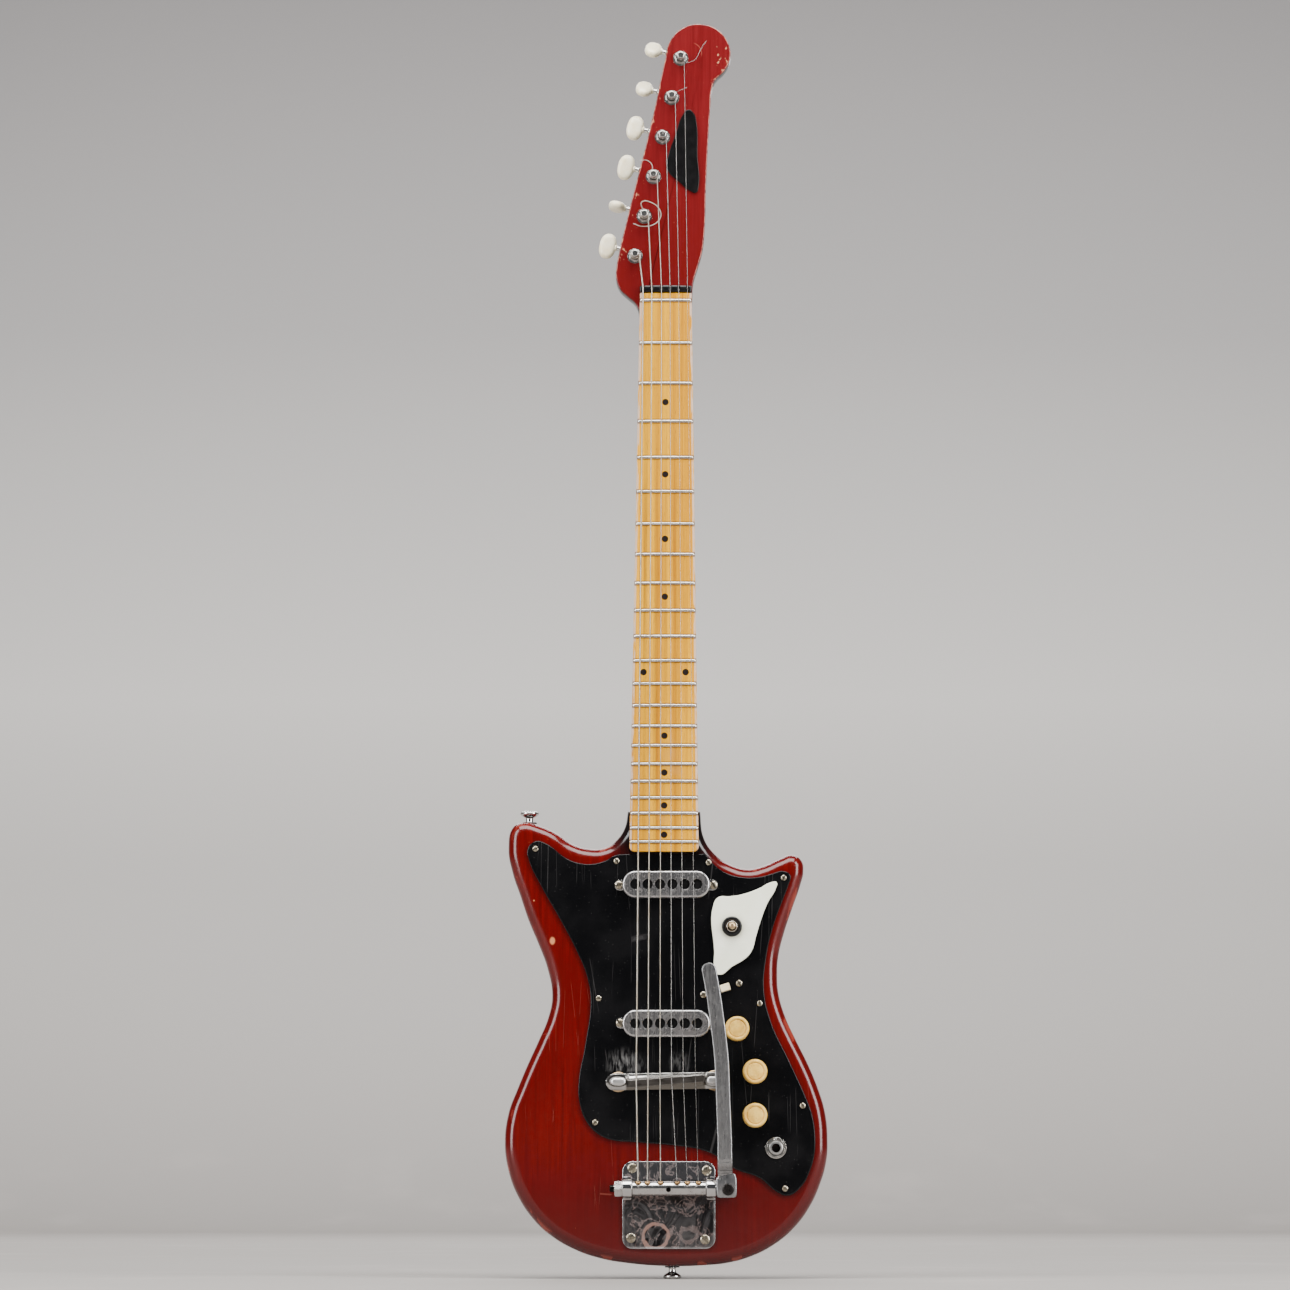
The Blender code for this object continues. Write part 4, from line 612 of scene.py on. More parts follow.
def neck_lacquer():
    """Black lacquer, and brighter cherry on the headstock's face, rubbed through along its edge, with a
    lighter line along the edge's crest that is partly wear and partly painted highlight.
    """
    f = Finish("neck_lacquer")
    grain = f.noise(0.4, 6.0, (1, 1, 0.05), 0.5, 0.6)
    red = grain.ramp(
        (0.30, (0.096, 0.0034, 0.0042)), (0.52, (0.118, 0.0050, 0.0062)), (0.74, (0.138, 0.0074, 0.0088))
    )
    red = red.mixed((0.098, 0.0030, 0.0029), f.z.above(900.0, 770.0) * 0.55)
    face = f.height.above(2.35, 2.8) * f.z.above(738.0, 740.0)
    rim = f.height.above(1.6, 2.6) * f.height.above(3.49, 3.35) * f.z.above(765.0, 770.0)
    chipped = f.noise(0.45, 5.0, (1, 1, 0.5)).above(0.57, 0.60)
    ball = f.near(27.0, 941.0, 30.0, 6.0) * f.x.above(34.0, 40.0)
    left = (f.x - (f.z - 940.0) * 0.205).above(3.0, 1.0)
    rolled = f.height.above(3.499, 3.46).most(f.noise(0.2, 2.0).above(0.60, 0.63))
    rubbed = f.height.above(1.0, 2.0) * f.z.above(765.0, 770.0) * rolled
    chips = rubbed * chipped * (ball + left * 0.8).least(1.0)
    dents = f.specks(0.055, 0.06, 0.3) * f.z.above(770.0, 780.0)
    flecks = f.specks(0.30, 0.09, 0.16).most(f.specks(0.8, 0.09, 0.10))
    tiny = flecks * f.noise(0.05, 2.0, shift=(8, 1, 4)).above(0.42, 0.56) * face
    # partly wear, partly painted highlight: a lighter line along the rounded edge's crest
    line = f.height.above(2.9, 3.1) * f.height.above(3.47, 3.40) * f.z.above(760.0, 765.0)
    line = line * f.noise(0.35, 4.0).above(0.42, 0.54)
    arc = ((f.away(19.0, 941.0) - 9.0) ** 2.0).above(0.10, 0.02)
    arc = arc * f.x.above(21.0, 24.0) * f.z.above(938.0, 942.0)
    black = f.solid((0.0040, 0.0036, 0.0035))
    tone = black.mixed(red, face.most(rim * 0.7))
    tone = tone.mixed((0.40, 0.12, 0.08), line * 0.8)
    tone = tone.mixed((0.48, 0.16, 0.09), tiny * 0.65)
    tone = tone.mixed((0.50, 0.21, 0.11), chips * 0.85)
    tone = tone.mixed((0.42, 0.10, 0.07), (dents * 0.7).most(arc * 0.5) * face)
    rough = f.noise(0.2, 4.0) * 0.14 + 0.17 + chips * 0.25
    relief = f.noise(0.05, 2.0) + grain * 0.05 - chips * 0.6 - dents * 0.4
    return f.done(
        Base_Color=tone, Roughness=rough, Coat_Weight=face * 0.35, Coat_Roughness=0.08,
        Specular_IOR_Level=0.25, Normal=f.bump(relief, 0.25, 0.5),
    )


def board_wood():
    """Golden board with dark pores along the grain, pale edges that are partly worn and partly a painted
    highlight on the rolled edge, and round black position marks.
    """
    f = Finish("board_wood")
    band = f.noise(0.22, 4.0, (1, 1, 0.012), 0.2, 0.6)
    fine = f.noise(1.6, 5.0, (1, 1, 0.02), 0.3, 0.7)
    pores = f.noise(3.2, 3.0, (1, 1, 0.045), 0.0, 0.5, shift=(11, 0, 0))
    tone = band.ramp(
        (0.30, (0.400, 0.150, 0.001)), (0.48, (0.590, 0.262, 0.001)), (0.60, (0.740, 0.355, 0.002)),
        (0.75, (0.470, 0.190, 0.001)),
    )
    tone = tone.mixed((0.430, 0.180, 0.030), fine.above(0.56, 0.68) * 0.55)
    tone = tone.mixed((0.190, 0.075, 0.018), pores.above(0.62, 0.70) * 0.65)
    dirt = f.noise(0.05, 3.0, (1, 1, 0.6), shift=(0, 0, 9)).above(0.52, 0.68)
    tone = tone.mixed((0.470, 0.230, 0.055), dirt * f.z.above(520.0, 340.0) * 0.5)
    inward = board_half_width(f.z) - abs(f.x - board_centre(f.z))
    # partly wear, partly painted highlight: a pale strip along the rolled edges
    strip = inward.above(2.1, 1.3) * f.noise(0.5, 3.0, (1, 1, 0.12)).above(0.38, 0.50)
    tone = tone.mixed((0.560, 0.420, 0.340), strip * 0.85)
    side = f.height.above(7.9, 7.3)
    tone = tone.mixed((0.500, 0.270, 0.110), side * 0.8)
    spots = []
    for number in MARKED_FRETS:
        z = (fret_z(number) + fret_z(number - 1)) / 2
        sides = (-16.0, 16.0) if number == 12 else (0.0,)
        spots += [f.near(board_centre(z) + side, z, 2.5, 0.18) for side in sides]
    marks = functools.reduce(Wire.most, spots)
    tone = tone.mixed((0.012, 0.008, 0.007), marks)
    beside = [((f.z - fret_z(number)) ** 2.0).above(5.5, 1.5) for number in FRETS]
    shade = functools.reduce(Wire.most, beside)
    tone = tone.mixed((0.110, 0.050, 0.018), shade * 0.75)
    rough = f.noise(0.3, 4.0, (1, 1, 0.2)) * 0.16 + 0.26 + strip * 0.15
    relief = pores.above(0.60, 0.70) * -0.6 + fine * 0.25 + f.noise(0.08, 2.0)
    return f.done(
        Base_Color=tone, Roughness=rough, Coat_Weight=0.05, Coat_Roughness=0.15, Specular_IOR_Level=0.25,
        Normal=f.bump(relief, 0.3, 0.15),
    )


def black_plastic():
    """Glossy black sheet with dust, faint scuffs, and a rubbed patch beside the bridge."""
    f = Finish("black_plastic")
    dust = f.specks(0.55, 0.13, 0.25).most(f.specks(0.21, 0.06, 0.3))
    haze = f.noise(0.03, 4.0).above(0.42, 0.66)
    lines = f.scratches(0.05, 0.5, 0.006, 25.0).most(f.scratches(0.035, -0.7, 0.005, 30.0))
    lines = lines * f.noise(0.02, 2.0, shift=(1, 5, 2)).above(0.50, 0.58)
    rub = f.near(-31.0, 160.0, 10.0, 8.0, 1.2).most(f.near(10.0, 160.0, 5.0, 6.0, 0.8) * 0.7)
    rub = rub * f.noise(0.5, 5.0, (1, 1, 0.25)).above(0.40, 0.66)
    rub = rub * f.height.above(2.0, 2.2) * f.z.above(153.0, 156.0)
    tone = f.solid((0.0018, 0.0018, 0.0021)).mixed((0.0040, 0.0039, 0.0043), haze)
    tone = tone.mixed((0.19, 0.18, 0.17), dust * 0.30)
    tone = tone.mixed((0.25, 0.245, 0.24), rub * 0.42)
    tone = tone.mixed((0.055, 0.052, 0.052), lines * 0.35)
    rough = haze * 0.07 + dust * 0.3 + lines * 0.12 + rub * 0.25 + 0.10
    return f.done(
        Base_Color=tone, Roughness=rough, Specular_IOR_Level=0.3, Normal=f.bump(f.noise(0.03, 2.0), 0.2, 0.5)
    )


def moulded_black():
    """Plain black mouldings: a little dull, with fine grit."""
    f = Finish("moulded_black")
    grit = f.noise(2.5, 4.0)
    tone = f.noise(0.2, 3.0).ramp((0.35, (0.0020, 0.0019, 0.0020)), (0.65, (0.0048, 0.0046, 0.0048)))
    tone = tone.mixed((0.08, 0.075, 0.07), f.specks(0.9, 0.10, 0.3) * 0.3)
    return f.done(
        Base_Color=tone, Roughness=grit * 0.15 + 0.16, Specular_IOR_Level=0.35, Normal=f.bump(grit, 0.2, 0.05)
    )


def ivory_plastic():
    """Pale greenish ivory with dark specks, and painted shadow of the switch round it, darker and a shade
    yellower, centred a little below it.
    """
    f = Finish("ivory_plastic")
    tone = f.noise(0.04, 3.0).ramp((0.35, (0.860, 0.870, 0.700)), (0.65, (0.930, 0.940, 0.790)))
    # painted shadow of the switch, darker and a little yellower, centred just below it
    tone = tone.mixed((0.640, 0.620, 0.460), f.near(TOGGLE[0], TOGGLE[1] - 1.0, 10.0, 4.5) * 0.5)
    tone = tone.mixed((0.36, 0.33, 0.24), f.specks(0.35, 0.06, 0.3) * 0.35)
    rough = f.noise(0.3, 4.0) * 0.12 + 0.20
    return f.done(
        Base_Color=tone, Roughness=rough, Coat_Weight=0.2, Coat_Roughness=0.1,
        Normal=f.bump(f.noise(0.05, 2.0), 0.15, 0.4),
    )


def cream_plastic(name, light, dark, grime=0.5):
    """Aged cream plastic: mottled, with grime in noise spots and specks."""
    f = Finish(name)
    tone = f.noise(0.22, 4.0).ramp((0.36, dark), (0.62, light))
    spots = f.noise(0.9, 4.0, shift=(4, 4, 4)).above(0.56, 0.70)
    tone = tone.mixed(tuple(part * 0.55 for part in dark), spots * grime)
    tone = tone.mixed((0.20, 0.12, 0.05), f.specks(0.6, 0.09, 0.25) * grime * 0.7)
    rough = f.noise(0.5, 4.0) * 0.18 + 0.24
    return f.done(
        Base_Color=tone, Roughness=rough, Coat_Weight=0.3, Coat_Roughness=0.12,
        Normal=f.bump(f.noise(0.6, 3.0), 0.25, 0.08),
    )


def metal(name, bright, dull, stain, wear=0.5, gloss=0.14, brushed=None, dark=None):
    """Plated metal: cloudy tarnish, fine scratches and brown stains over the bright plate. dark(f) gives a
    share that is blackened as painted shade."""
    f = Finish(name)
    cloud = f.noise(0.16, 5.0, distortion=0.6)
    patch = cloud.above(0.50, 0.64)
    spots = f.noise(0.55, 5.0, shift=(5, 1, 8)).above(0.58, 0.68)
    tone = f.solid(bright).mixed(dull, patch * wear)
    tone = tone.mixed(stain, spots * wear)
    lines = f.scratches(0.25, 0.6, 0.02, 14.0).most(f.scratches(0.2, -0.9, 0.02, 20.0))
    rough = patch * 0.16 * wear + spots * 0.28 * wear + lines * 0.06 + gloss
    relief = f.noise(0.5, 3.0) * 0.5 - spots * 0.3 - lines * 0.1
    if brushed:
        streak = f.noise(1.4, 4.0, brushed)
        rough = rough + streak * 0.18
        relief = relief + streak * 0.5
        tone = tone.mixed(tuple(part * 0.72 for part in bright), streak.above(0.5, 0.66) * 0.5)
    # painted shade: the share from dark(f) is blackened
    if dark:
        tone = tone.mixed((0.012, 0.011, 0.010), dark(f))
    metallic = 1.0 - spots * wear * 0.35
    return f.done(Base_Color=tone, Metallic=metallic, Roughness=rough, Normal=f.bump(relief, 0.25, 0.12))


def wound_wire():
    """String winding: turns square to the string, 0.42 mm apart, with painted shade between them."""
    f = Finish("wound_wire")
    turns = f.base.maths("SINE", f.z * (math.tau / 0.42))
    # painted shade: the colour darkens between the turns
    tone = turns.ramp((0.0, (0.20, 0.18, 0.15)), (0.6, (0.56, 0.53, 0.48)))
    tone = tone.mixed((0.30, 0.24, 0.17), f.noise(0.08, 3.0).above(0.5, 0.62) * 0.5)
    rough = f.noise(0.3, 3.0) * 0.2 + 0.22
    return f.done(Base_Color=tone, Metallic=1.0, Roughness=rough, Normal=f.bump(turns, 0.5, 0.1))


def bridge_metal():
    """Cast metal: painted shade down the slope below the saddle ridge and in a thin groove behind it, a light
    ledge behind that, a brown flange, and a painted shade ring round the foot of each boss, whose top is
    lighter.
    """
    f = Finish("bridge_metal")
    ridge = f.z - saddle_z(f.x)
    middle = abs(f.x + 0.5)
    span = middle.above(30.5, 29.0)
    # dark: painted shade down the slope below the ridge, which faces down
    dark = ridge.above(-0.2, -0.7) * ridge.above(-5.6, -4.6) * span
    # groove: painted shade in the thin step just behind the ridge
    groove = ridge.above(0.5, 0.8) * ridge.above(1.9, 1.3) * span
    worn = f.noise(0.4, 4.0, (0.3, 1, 1))
    tone = worn.ramp((0.35, (0.34, 0.33, 0.315)), (0.65, (0.50, 0.49, 0.475)))
    tone = tone.mixed((0.13, 0.118, 0.10), ridge.above(-4.4, -5.4) * span * 0.9)
    tone = tone.mixed((0.040, 0.036, 0.033), dark * (worn * 0.5 + 0.65))
    tone = tone.mixed((0.10, 0.095, 0.09), groove * 0.6)
    boss = ((middle - FOOT_X) ** 2.0 / 42.0 + (f.z - 147.3) ** 2.0 / 13.0) ** 0.5
    # painted shade: a dark ring in the crease round the foot of each boss
    tone = tone.mixed(
        (0.13, 0.12, 0.11), ((boss - 1.12) ** 2.0).above(0.03, 0.006) * middle.above(26.5, 28.5) * 0.75
    )
    inside = boss.above(0.98, 0.90) * middle.above(26.5, 28.5)
    tone = tone.mixed((0.60, 0.59, 0.58), inside)
    rough = worn * 0.2 + 0.14 + dark * 0.1 + inside * 0.15
    relief = worn + f.noise(1.5, 3.0) * 0.3
    return f.done(Base_Color=tone, Metallic=1.0, Roughness=rough, Normal=f.bump(relief, 0.15, 0.12))


def vibrato_chrome():
    """Mirror chrome of the plate: painted dark and light reflections, a lighter painted reflection on its
    upper part, a painted shadow below the bar and painted highlights along its edges, with ragged pink
    blotches, and a brown ring.
    """
    f = Finish("vibrato_chrome")
    warp = f.noise(0.12, 4.0) * 7.0 - 3.5
    away = (((f.x + 8.0) * 0.95 + warp) ** 2.0 + (f.z - 32.0 + warp * 0.5) ** 2.0) ** 0.5
    ring = ((away - 9.0) ** 2.0).above(3.2, 0.6)
    ring_dark_reflection = away.above(8.6, 7.6)
    blotch = (f.away(17.0, 33.0, 1.1) + warp * 1.5 - 6.0) ** 2.0
    stain = f.noise(0.10, 5.0, distortion=1.5, shift=(3, 5, 2))
    pink = (((stain - 0.57) ** 2.0).above(0.0012, 0.0001) * 0.6).most(blotch.above(4.0, 1.0) * 0.45)
    flat = f.height.above(3.6, 2.6)
    # upper: painted reflection, the plate above the bar made lighter
    upper = f.z.above(70.0, 76.0)
    # painted shadow of the bar on the plate just below it
    painted_bar_shadow = f.z.above(52.0, 60.0) * f.z.above(68.0, 64.0)
    # painted reflections: dark and light mottling in the base colour
    painted_reflections = f.noise(0.045, 3.0, (1, 1, 0.7), distortion=1.8, shift=(9, 2, 4))
    tone = painted_reflections.ramp(
        (0.36, (0.060, 0.057, 0.060)), (0.47, (0.240, 0.232, 0.238)), (0.55, (0.130, 0.124, 0.128)),
        (0.66, (0.400, 0.385, 0.390))
    )
    tone = tone.mixed((0.520, 0.505, 0.520), upper * 0.7)
    tone = tone.mixed((0.110, 0.080, 0.068), painted_bar_shadow * 0.6)
    tone = tone.mixed((0.400, 0.280, 0.255), pink * 0.8)
    # painted reflection: inside the brown ring the dark reflection pattern goes near black
    tone = tone.mixed((0.030, 0.028, 0.030), ring_dark_reflection * painted_reflections.above(0.46, 0.50))
    tone = tone.mixed((0.330, 0.185, 0.145), ring * (stain + 0.25).least(1.0))
    # rim: painted highlight along the plate's rounded edges
    rim = abs(f.x - 1.85).above(32.8, 33.8).most(abs(f.z - 55.05).above(30.5, 31.5))
    tone = tone.mixed((0.550, 0.540, 0.545), rim * 0.6)
    tone = f.solid((0.560, 0.550, 0.545)).mixed(tone, flat)
    marks = ring.most(pink * 0.7) * flat
    rough = marks * 0.22 + f.scratches(0.2, 0.4, 0.02, 14.0) * 0.05 + 0.09
    relief = f.noise(0.05, 1.0) - marks * 0.1
    metallic = 1.0 - marks * 0.4
    return f.done(Base_Color=tone, Metallic=metallic, Roughness=rough, Normal=f.bump(relief, 0.12, 0.4))


def hole_wall_shade(f):
    """Painted shade: the walls of the pickup covers' holes, below the top face and away from the ends, are
    blackened.
    """
    beside = ((f.z - PICKUP_Z[0]) ** 2.0).least((f.z - PICKUP_Z[1]) ** 2.0)
    return f.height.above(8.2, 7.9) * abs(f.x).above(28.0, 27.5) * beside.above(24.0, 22.0)


def bar_shade_and_axle_end(f):
    """Painted shade in the hole in the middle of the bar and on the ground round the arm's screw, under the
    arm; the end of the axle is blackened too.
    """
    return f.near(1.5, 66.5, 1.8, 0.15).most(f.x.above(-39.0, -39.4)).most(f.near(*ARM_PIVOT, 5.0, 0.3))


CHROME, CHROME_DULL, CHROME_STAIN = (0.68, 0.67, 0.66), (0.40, 0.38, 0.36), (0.22, 0.16, 0.11)
RED = red_lacquer()
NECK_PAINT = neck_lacquer()
BOARD = board_wood()
GUARD = black_plastic()
BLACK = moulded_black()
IVORY = ivory_plastic()
KNOB_CREAM = cream_plastic("knob_cream", (0.84, 0.54, 0.12), (0.68, 0.38, 0.06), 0.4)
CAP_CREAM = cream_plastic("cap_cream", (0.86, 0.74, 0.52), (0.74, 0.60, 0.38), 0.3)
BUTTON_CREAM = cream_plastic("button_cream", (0.97, 0.89, 0.68), (0.93, 0.81, 0.55), 0.12)
VIBRATO_CHROME = vibrato_chrome()
PLATE_CHROME = metal("plate_chrome", CHROME, CHROME_DULL, CHROME_STAIN, 0.55, 0.13)
PICKUP_CHROME = metal(
    "pickup_chrome", (0.50, 0.49, 0.49), (0.34, 0.31, 0.31), (0.22, 0.17, 0.15), 0.35, 0.24, dark=hole_wall_shade
)
ARM_METAL = metal(
    "arm_metal", (0.33, 0.33, 0.335), (0.23, 0.228, 0.225), (0.18, 0.155, 0.13), 0.4, 0.20, (1, 1, 0.03)
)
BAR_CHROME = metal(
    "bar_chrome", (0.54, 0.53, 0.52), (0.32, 0.30, 0.29), (0.20, 0.14, 0.10), 0.45, 0.15, dark=bar_shade_and_axle_end
)
BRIDGE_METAL = bridge_metal()
NICKEL = metal("nickel", (0.62, 0.60, 0.57), (0.44, 0.41, 0.37), (0.24, 0.17, 0.10), 0.3, 0.15)
SCREW_METAL = metal("screw_metal", (0.38, 0.34, 0.26), (0.24, 0.20, 0.14), (0.12, 0.08, 0.05), 0.6, 0.24)
BRASS = metal("worn_brass", (0.56, 0.40, 0.24), (0.34, 0.23, 0.13), (0.16, 0.10, 0.06), 0.6, 0.30)
BALL_BRASS = metal("ball_brass", (0.36, 0.22, 0.10), (0.16, 0.09, 0.04), (0.05, 0.03, 0.02), 0.7, 0.24)
STEEL = metal("steel", (0.50, 0.49, 0.48), (0.30, 0.29, 0.28), (0.16, 0.12, 0.09), 0.5, 0.28)
DARK_STEEL = metal("dark_steel", (0.050, 0.046, 0.045), (0.030, 0.028, 0.026), (0.04, 0.03, 0.02), 0.5, 0.24)
FRET_METAL = metal("fret_metal", (0.60, 0.58, 0.54), (0.38, 0.36, 0.33), (0.20, 0.17, 0.13), 0.5, 0.22)
PLAIN_WIRE = metal("plain_wire", (0.30, 0.29, 0.28), (0.20, 0.19, 0.17), (0.14, 0.11, 0.08), 0.5, 0.25)
WOUND_WIRE = wound_wire()


# ---------------------------------------------------------------- body, neck and board


def post(x, z, low, high, radius, count=32):
    """A round cutter standing on the face."""
    return moved(lathe(((0, low), (radius, low), (radius, high), (0, high)), count), (x, z, 0))


def block(x_range, z_range, height_range):
    """A square cutter between two values on each axis."""
    x, z = np.array(x_range)[[0, 1, 1, 0]], np.array(z_range)[[0, 0, 1, 1]]
    rows = [np.column_stack((x, z, np.full(4, height))) for height in height_range]
    return skin(np.array(rows))


def build_body():
    """A slab with a quarter-round edge of 9 mm, and the cavities, pockets and bores cut from it."""
    body = slab(smooth_outline(BODY_OUTLINE, 7), BODY_BACK, 0, 9.0, 9.0, 9)
    half = board_half_width(BOARD_END_Z)
    centre = board_centre(BOARD_END_Z)
    spring = (-6.8, 6.8), (35.7, BAR_Z + 8), (-20.0, 1.0)
    cutters = [
        block((centre - half, centre + half), (BOARD_END_Z, 372.0), (-16.0, 5.0)),
        slab(smooth_outline(CONTROL_OUTLINE, 3), -28.0, 1.0),
        post(*TOGGLE, -22.0, 1.0, 11.6),
        block(*spring),
    ]
    for z in PICKUP_Z:
        outline = stadium(60, 15, 4, 3) + np.array((0, z))
        cutters.append(slab(outline, -11.0, 1.0))
    for side in (-1, 1):
        cutters.append(post(side * FOOT_X, foot_z(side), -15.0, 1.0, 3.3))
    add_piece("body_shell", carved(body, *cutters), RED, replaces=["body"], angle=40)


def build_neck():
    """The shaft's section at z hangs from its flat top: across = w |cos a|^(2/n) and down = d sin(a)^(2/n).
    Its width, depth d and squareness n run smoothly from the heel to the headstock."""
    z = np.concatenate((
        np.linspace(320.3, 352, 8), np.linspace(354, 384, 22), np.linspace(392, 716, 42),
        np.linspace(720, 756, 18)
    ))
    stations = np.array((
        (320.3, 19.2, 12), (354, 19.2, 12), (360, 18.9, 8), (368, 18.1, 3.6), (382, 17.5, 2.5),
        (540, 16.5, 2.4), (722, 15.5, 2.4), (738, 15.0, 2.6), (752, 13.4, 3.0), (756, 13.2, 3.2),
    ))
    depth, form = (np.interp(z, stations[:, 0], stations[:, k])[:, None] for k in (1, 2))
    angle = np.linspace(0, math.pi, 41)[None]
    across = np.sign(np.cos(angle)) * np.abs(np.cos(angle)) ** (2 / form)
    width = (board_half_width(z) - 0.3)[:, None]
    rows = np.stack(
        (board_centre(z)[:, None] + width * across, np.repeat(z[:, None], 41, 1),
         NECK_TOP - 0.05 - depth * np.sin(angle).clip(0) ** (2 / form)), -1
    )
    shaft = skin(rows)
    head = slab(smooth_outline(HEAD_OUTLINE, 7), HEAD_BACK, NECK_TOP, 1.1, 2.2, 6)
    neck = carved(head, shaft, operation="UNION")
    cutters = [post(*tuner_spot(index), HEAD_BACK - 1, NECK_TOP + 1, POST_RADIUS + GAP) for index in range(6)]
    cutters.append(block((-3.3, 1.7), (335.0, 733.0), (NECK_TOP - 5.0, NECK_TOP + 1)))
    add_piece(
        "neck_shaft", carved(neck, *cutters), NECK_PAINT, replaces=["neck"], angle=40
    )


def camber(x):
    """How much the board's round face stands over its flat height: 0.25 - x^2 / 600."""
    return 0.25 - np.asarray(x, float) ** 2 / 600


def build_board():
    """Sections across the board, at each z: a flat bottom, straight sides, rolled edges and a face that
    follows camber(). The half width shrinks by r - sqrt(r^2 - d^2) at the body end's round corners."""
    low, top, corner = BOARD_END_Z, BOARD_HEAD_Z - GAP, 4.0
    arc = corner * (1 - np.cos(np.linspace(0, math.pi / 2, 9)))
    z = np.concatenate((low + arc, np.linspace(low + 8, top, 90)))
    inside = (corner - (z - low)).clip(0)
    half = board_half_width(z) - (corner - np.sqrt((corner**2 - inside**2).clip(0)))
    roll = np.linspace(0, math.pi / 2, 6)
    side_x, side_h = 0.9 * (1 - np.cos(roll)), 0.9 * (1 - np.sin(roll))
    share = np.linspace(-1, 1, 25)
    reach = (half - 0.9)[:, None]
    face = reach * share[None]
    left, right = -half[:, None] + side_x[None], half[:, None] - side_x[::-1][None]
    bottom = np.stack((half, -half), 1)
    x = np.concatenate((left, face[:, 1:-1], right, bottom), 1)
    drop = camber(x.clip(-reach, reach))
    high = BOARD_TOP + drop
    high[:, :6] -= side_h[None]
    high[:, -8:-2] -= side_h[::-1][None]
    high[:, -2:] = BOARD_LOW
    rows = np.stack((board_centre(z)[:, None] + x, np.repeat(z[:, None], x.shape[1], 1), high), -1)
    add_piece("fingerboard_face", skin(rows), BOARD, replaces=["fingerboard"], angle=30)


def build_frets():
    """Each fret's crown is half an ellipse across, 2.2 by 1 mm, and it falls away at both ends. Points
    of all frets are worked out at once, on a grid of fret, place along it, and angle."""
    number = np.array(FRETS)
    z = fret_z(number)[:, None, None]
    reach = (board_half_width(fret_z(number)) - 0.35)[:, None, None]
    edge = np.array((0, 0.15, 0.4, 0.8, 1.4))
    end = np.concatenate((edge, np.linspace(2.5, 17.5, 12), 20 - edge[::-1]))[None, :, None] / 10 - 1
    taper = np.sqrt((1 - ((np.abs(end) - 0.93).clip(0) / 0.072) ** 2).clip(0.12))
    angle = np.linspace(0, math.pi, 9)[None, None, :]
    x = board_centre(z) + reach * end + 0 * angle
    across = z + 1.1 * np.cos(angle) * (0.75 + 0.25 * taper) + 0 * x
    height = BOARD_TOP + camber(x) + 1.0 * np.sin(angle) * taper - 0.05
    shapes = [skin(np.stack((x, across, height), -1)[index]) for index in number]
    add_piece("frets", merge(*shapes), FRET_METAL, angle=50)


def build_string_guide():
    """A bar across the neck, whose top sinks as x^2 / 200 and dips at each string by
    1.25 exp(-((x - string) / 0.75)^4). Its eight-point section shrinks towards both ends."""
    x = np.concatenate(([-20.0, -19.8, -19.4], np.linspace(-19.0, 19.0, 230), [19.4, 19.8, 20.0]))
    notch = sum(np.exp(-(((x - at) / 0.75) ** 4)) for at in STRING_X_GUIDE)
    top = 10.4 - 1.25 * notch.clip(0, 1) - 0.005 * x**2
    shrink = np.interp(np.abs(x), (19.0, 19.4, 19.8, 20.0), (0.0, 0.1, 0.35, 0.8))
    low = BOARD_HEAD_Z + GAP
    section = np.array((
        (0, 0), (1, 0), (1, 0.75), (0.93, 0.93), (0.78, 1), (0.22, 1), (0.07, 0.93), (0, 0.75)
    ))
    z = low + shrink[:, None] + section[:, 0] * (5.5 - 2 * shrink)[:, None]
    base = NECK_TOP + GAP
    height = base + section[:, 1] * (top - shrink - base)[:, None]
    rows = np.stack((np.repeat(x[:, None], 8, 1), z, height), -1)
    add_piece("guide_bar", skin(rows), BLACK, replaces=["string_guide"], angle=30)


def build_badge():
    """A plain bevelled plate."""
    low = NECK_TOP + GAP
    badge = slab(smooth_outline(BADGE_OUTLINE, 6), low - 0.25, low + 1.25, 0.45, 0, 4)
    add_piece("badge_plate", badge, BLACK, replaces=["head_badge"])


# ---------------------------------------------------------------- screws


def slotted_head(radius, height, slot=0.22, depth=0.85):
    """A round screw head: the dome's height is h (1 - (r / R)^2)^0.5 over a short straight rim, with a slot
    cut across it."""
    angle = np.linspace(0, math.pi / 2, 8)
    dome = np.column_stack((radius * np.sin(angle), height * (0.3 + 0.7 * np.cos(angle))))
    head = lathe(np.vstack((dome, ((radius, 0.0), (0.0, 0.0)))), 32)
    groove = block(
        (-radius - 1, radius + 1), (-radius * slot, radius * slot), (height * (1 - depth), height + 1)
    )
    return carved(head, groove)


def screws(
    name, spots, radius, height, low, material, body="guitar", lean=(0.3, 1.4, 0.9, 2.2)
):
    """A set of slotted heads, each turned another way."""
    head = slotted_head(radius, height)
    shapes = [
        moved(head, (x, z, low), lean[index % len(lean)] + index * 0.7) for index, (x, z) in enumerate(spots)
    ]
    return add_piece(name, merge(*shapes), material, body, angle=35)


# ---------------------------------------------------------------- guard, pickups, controls


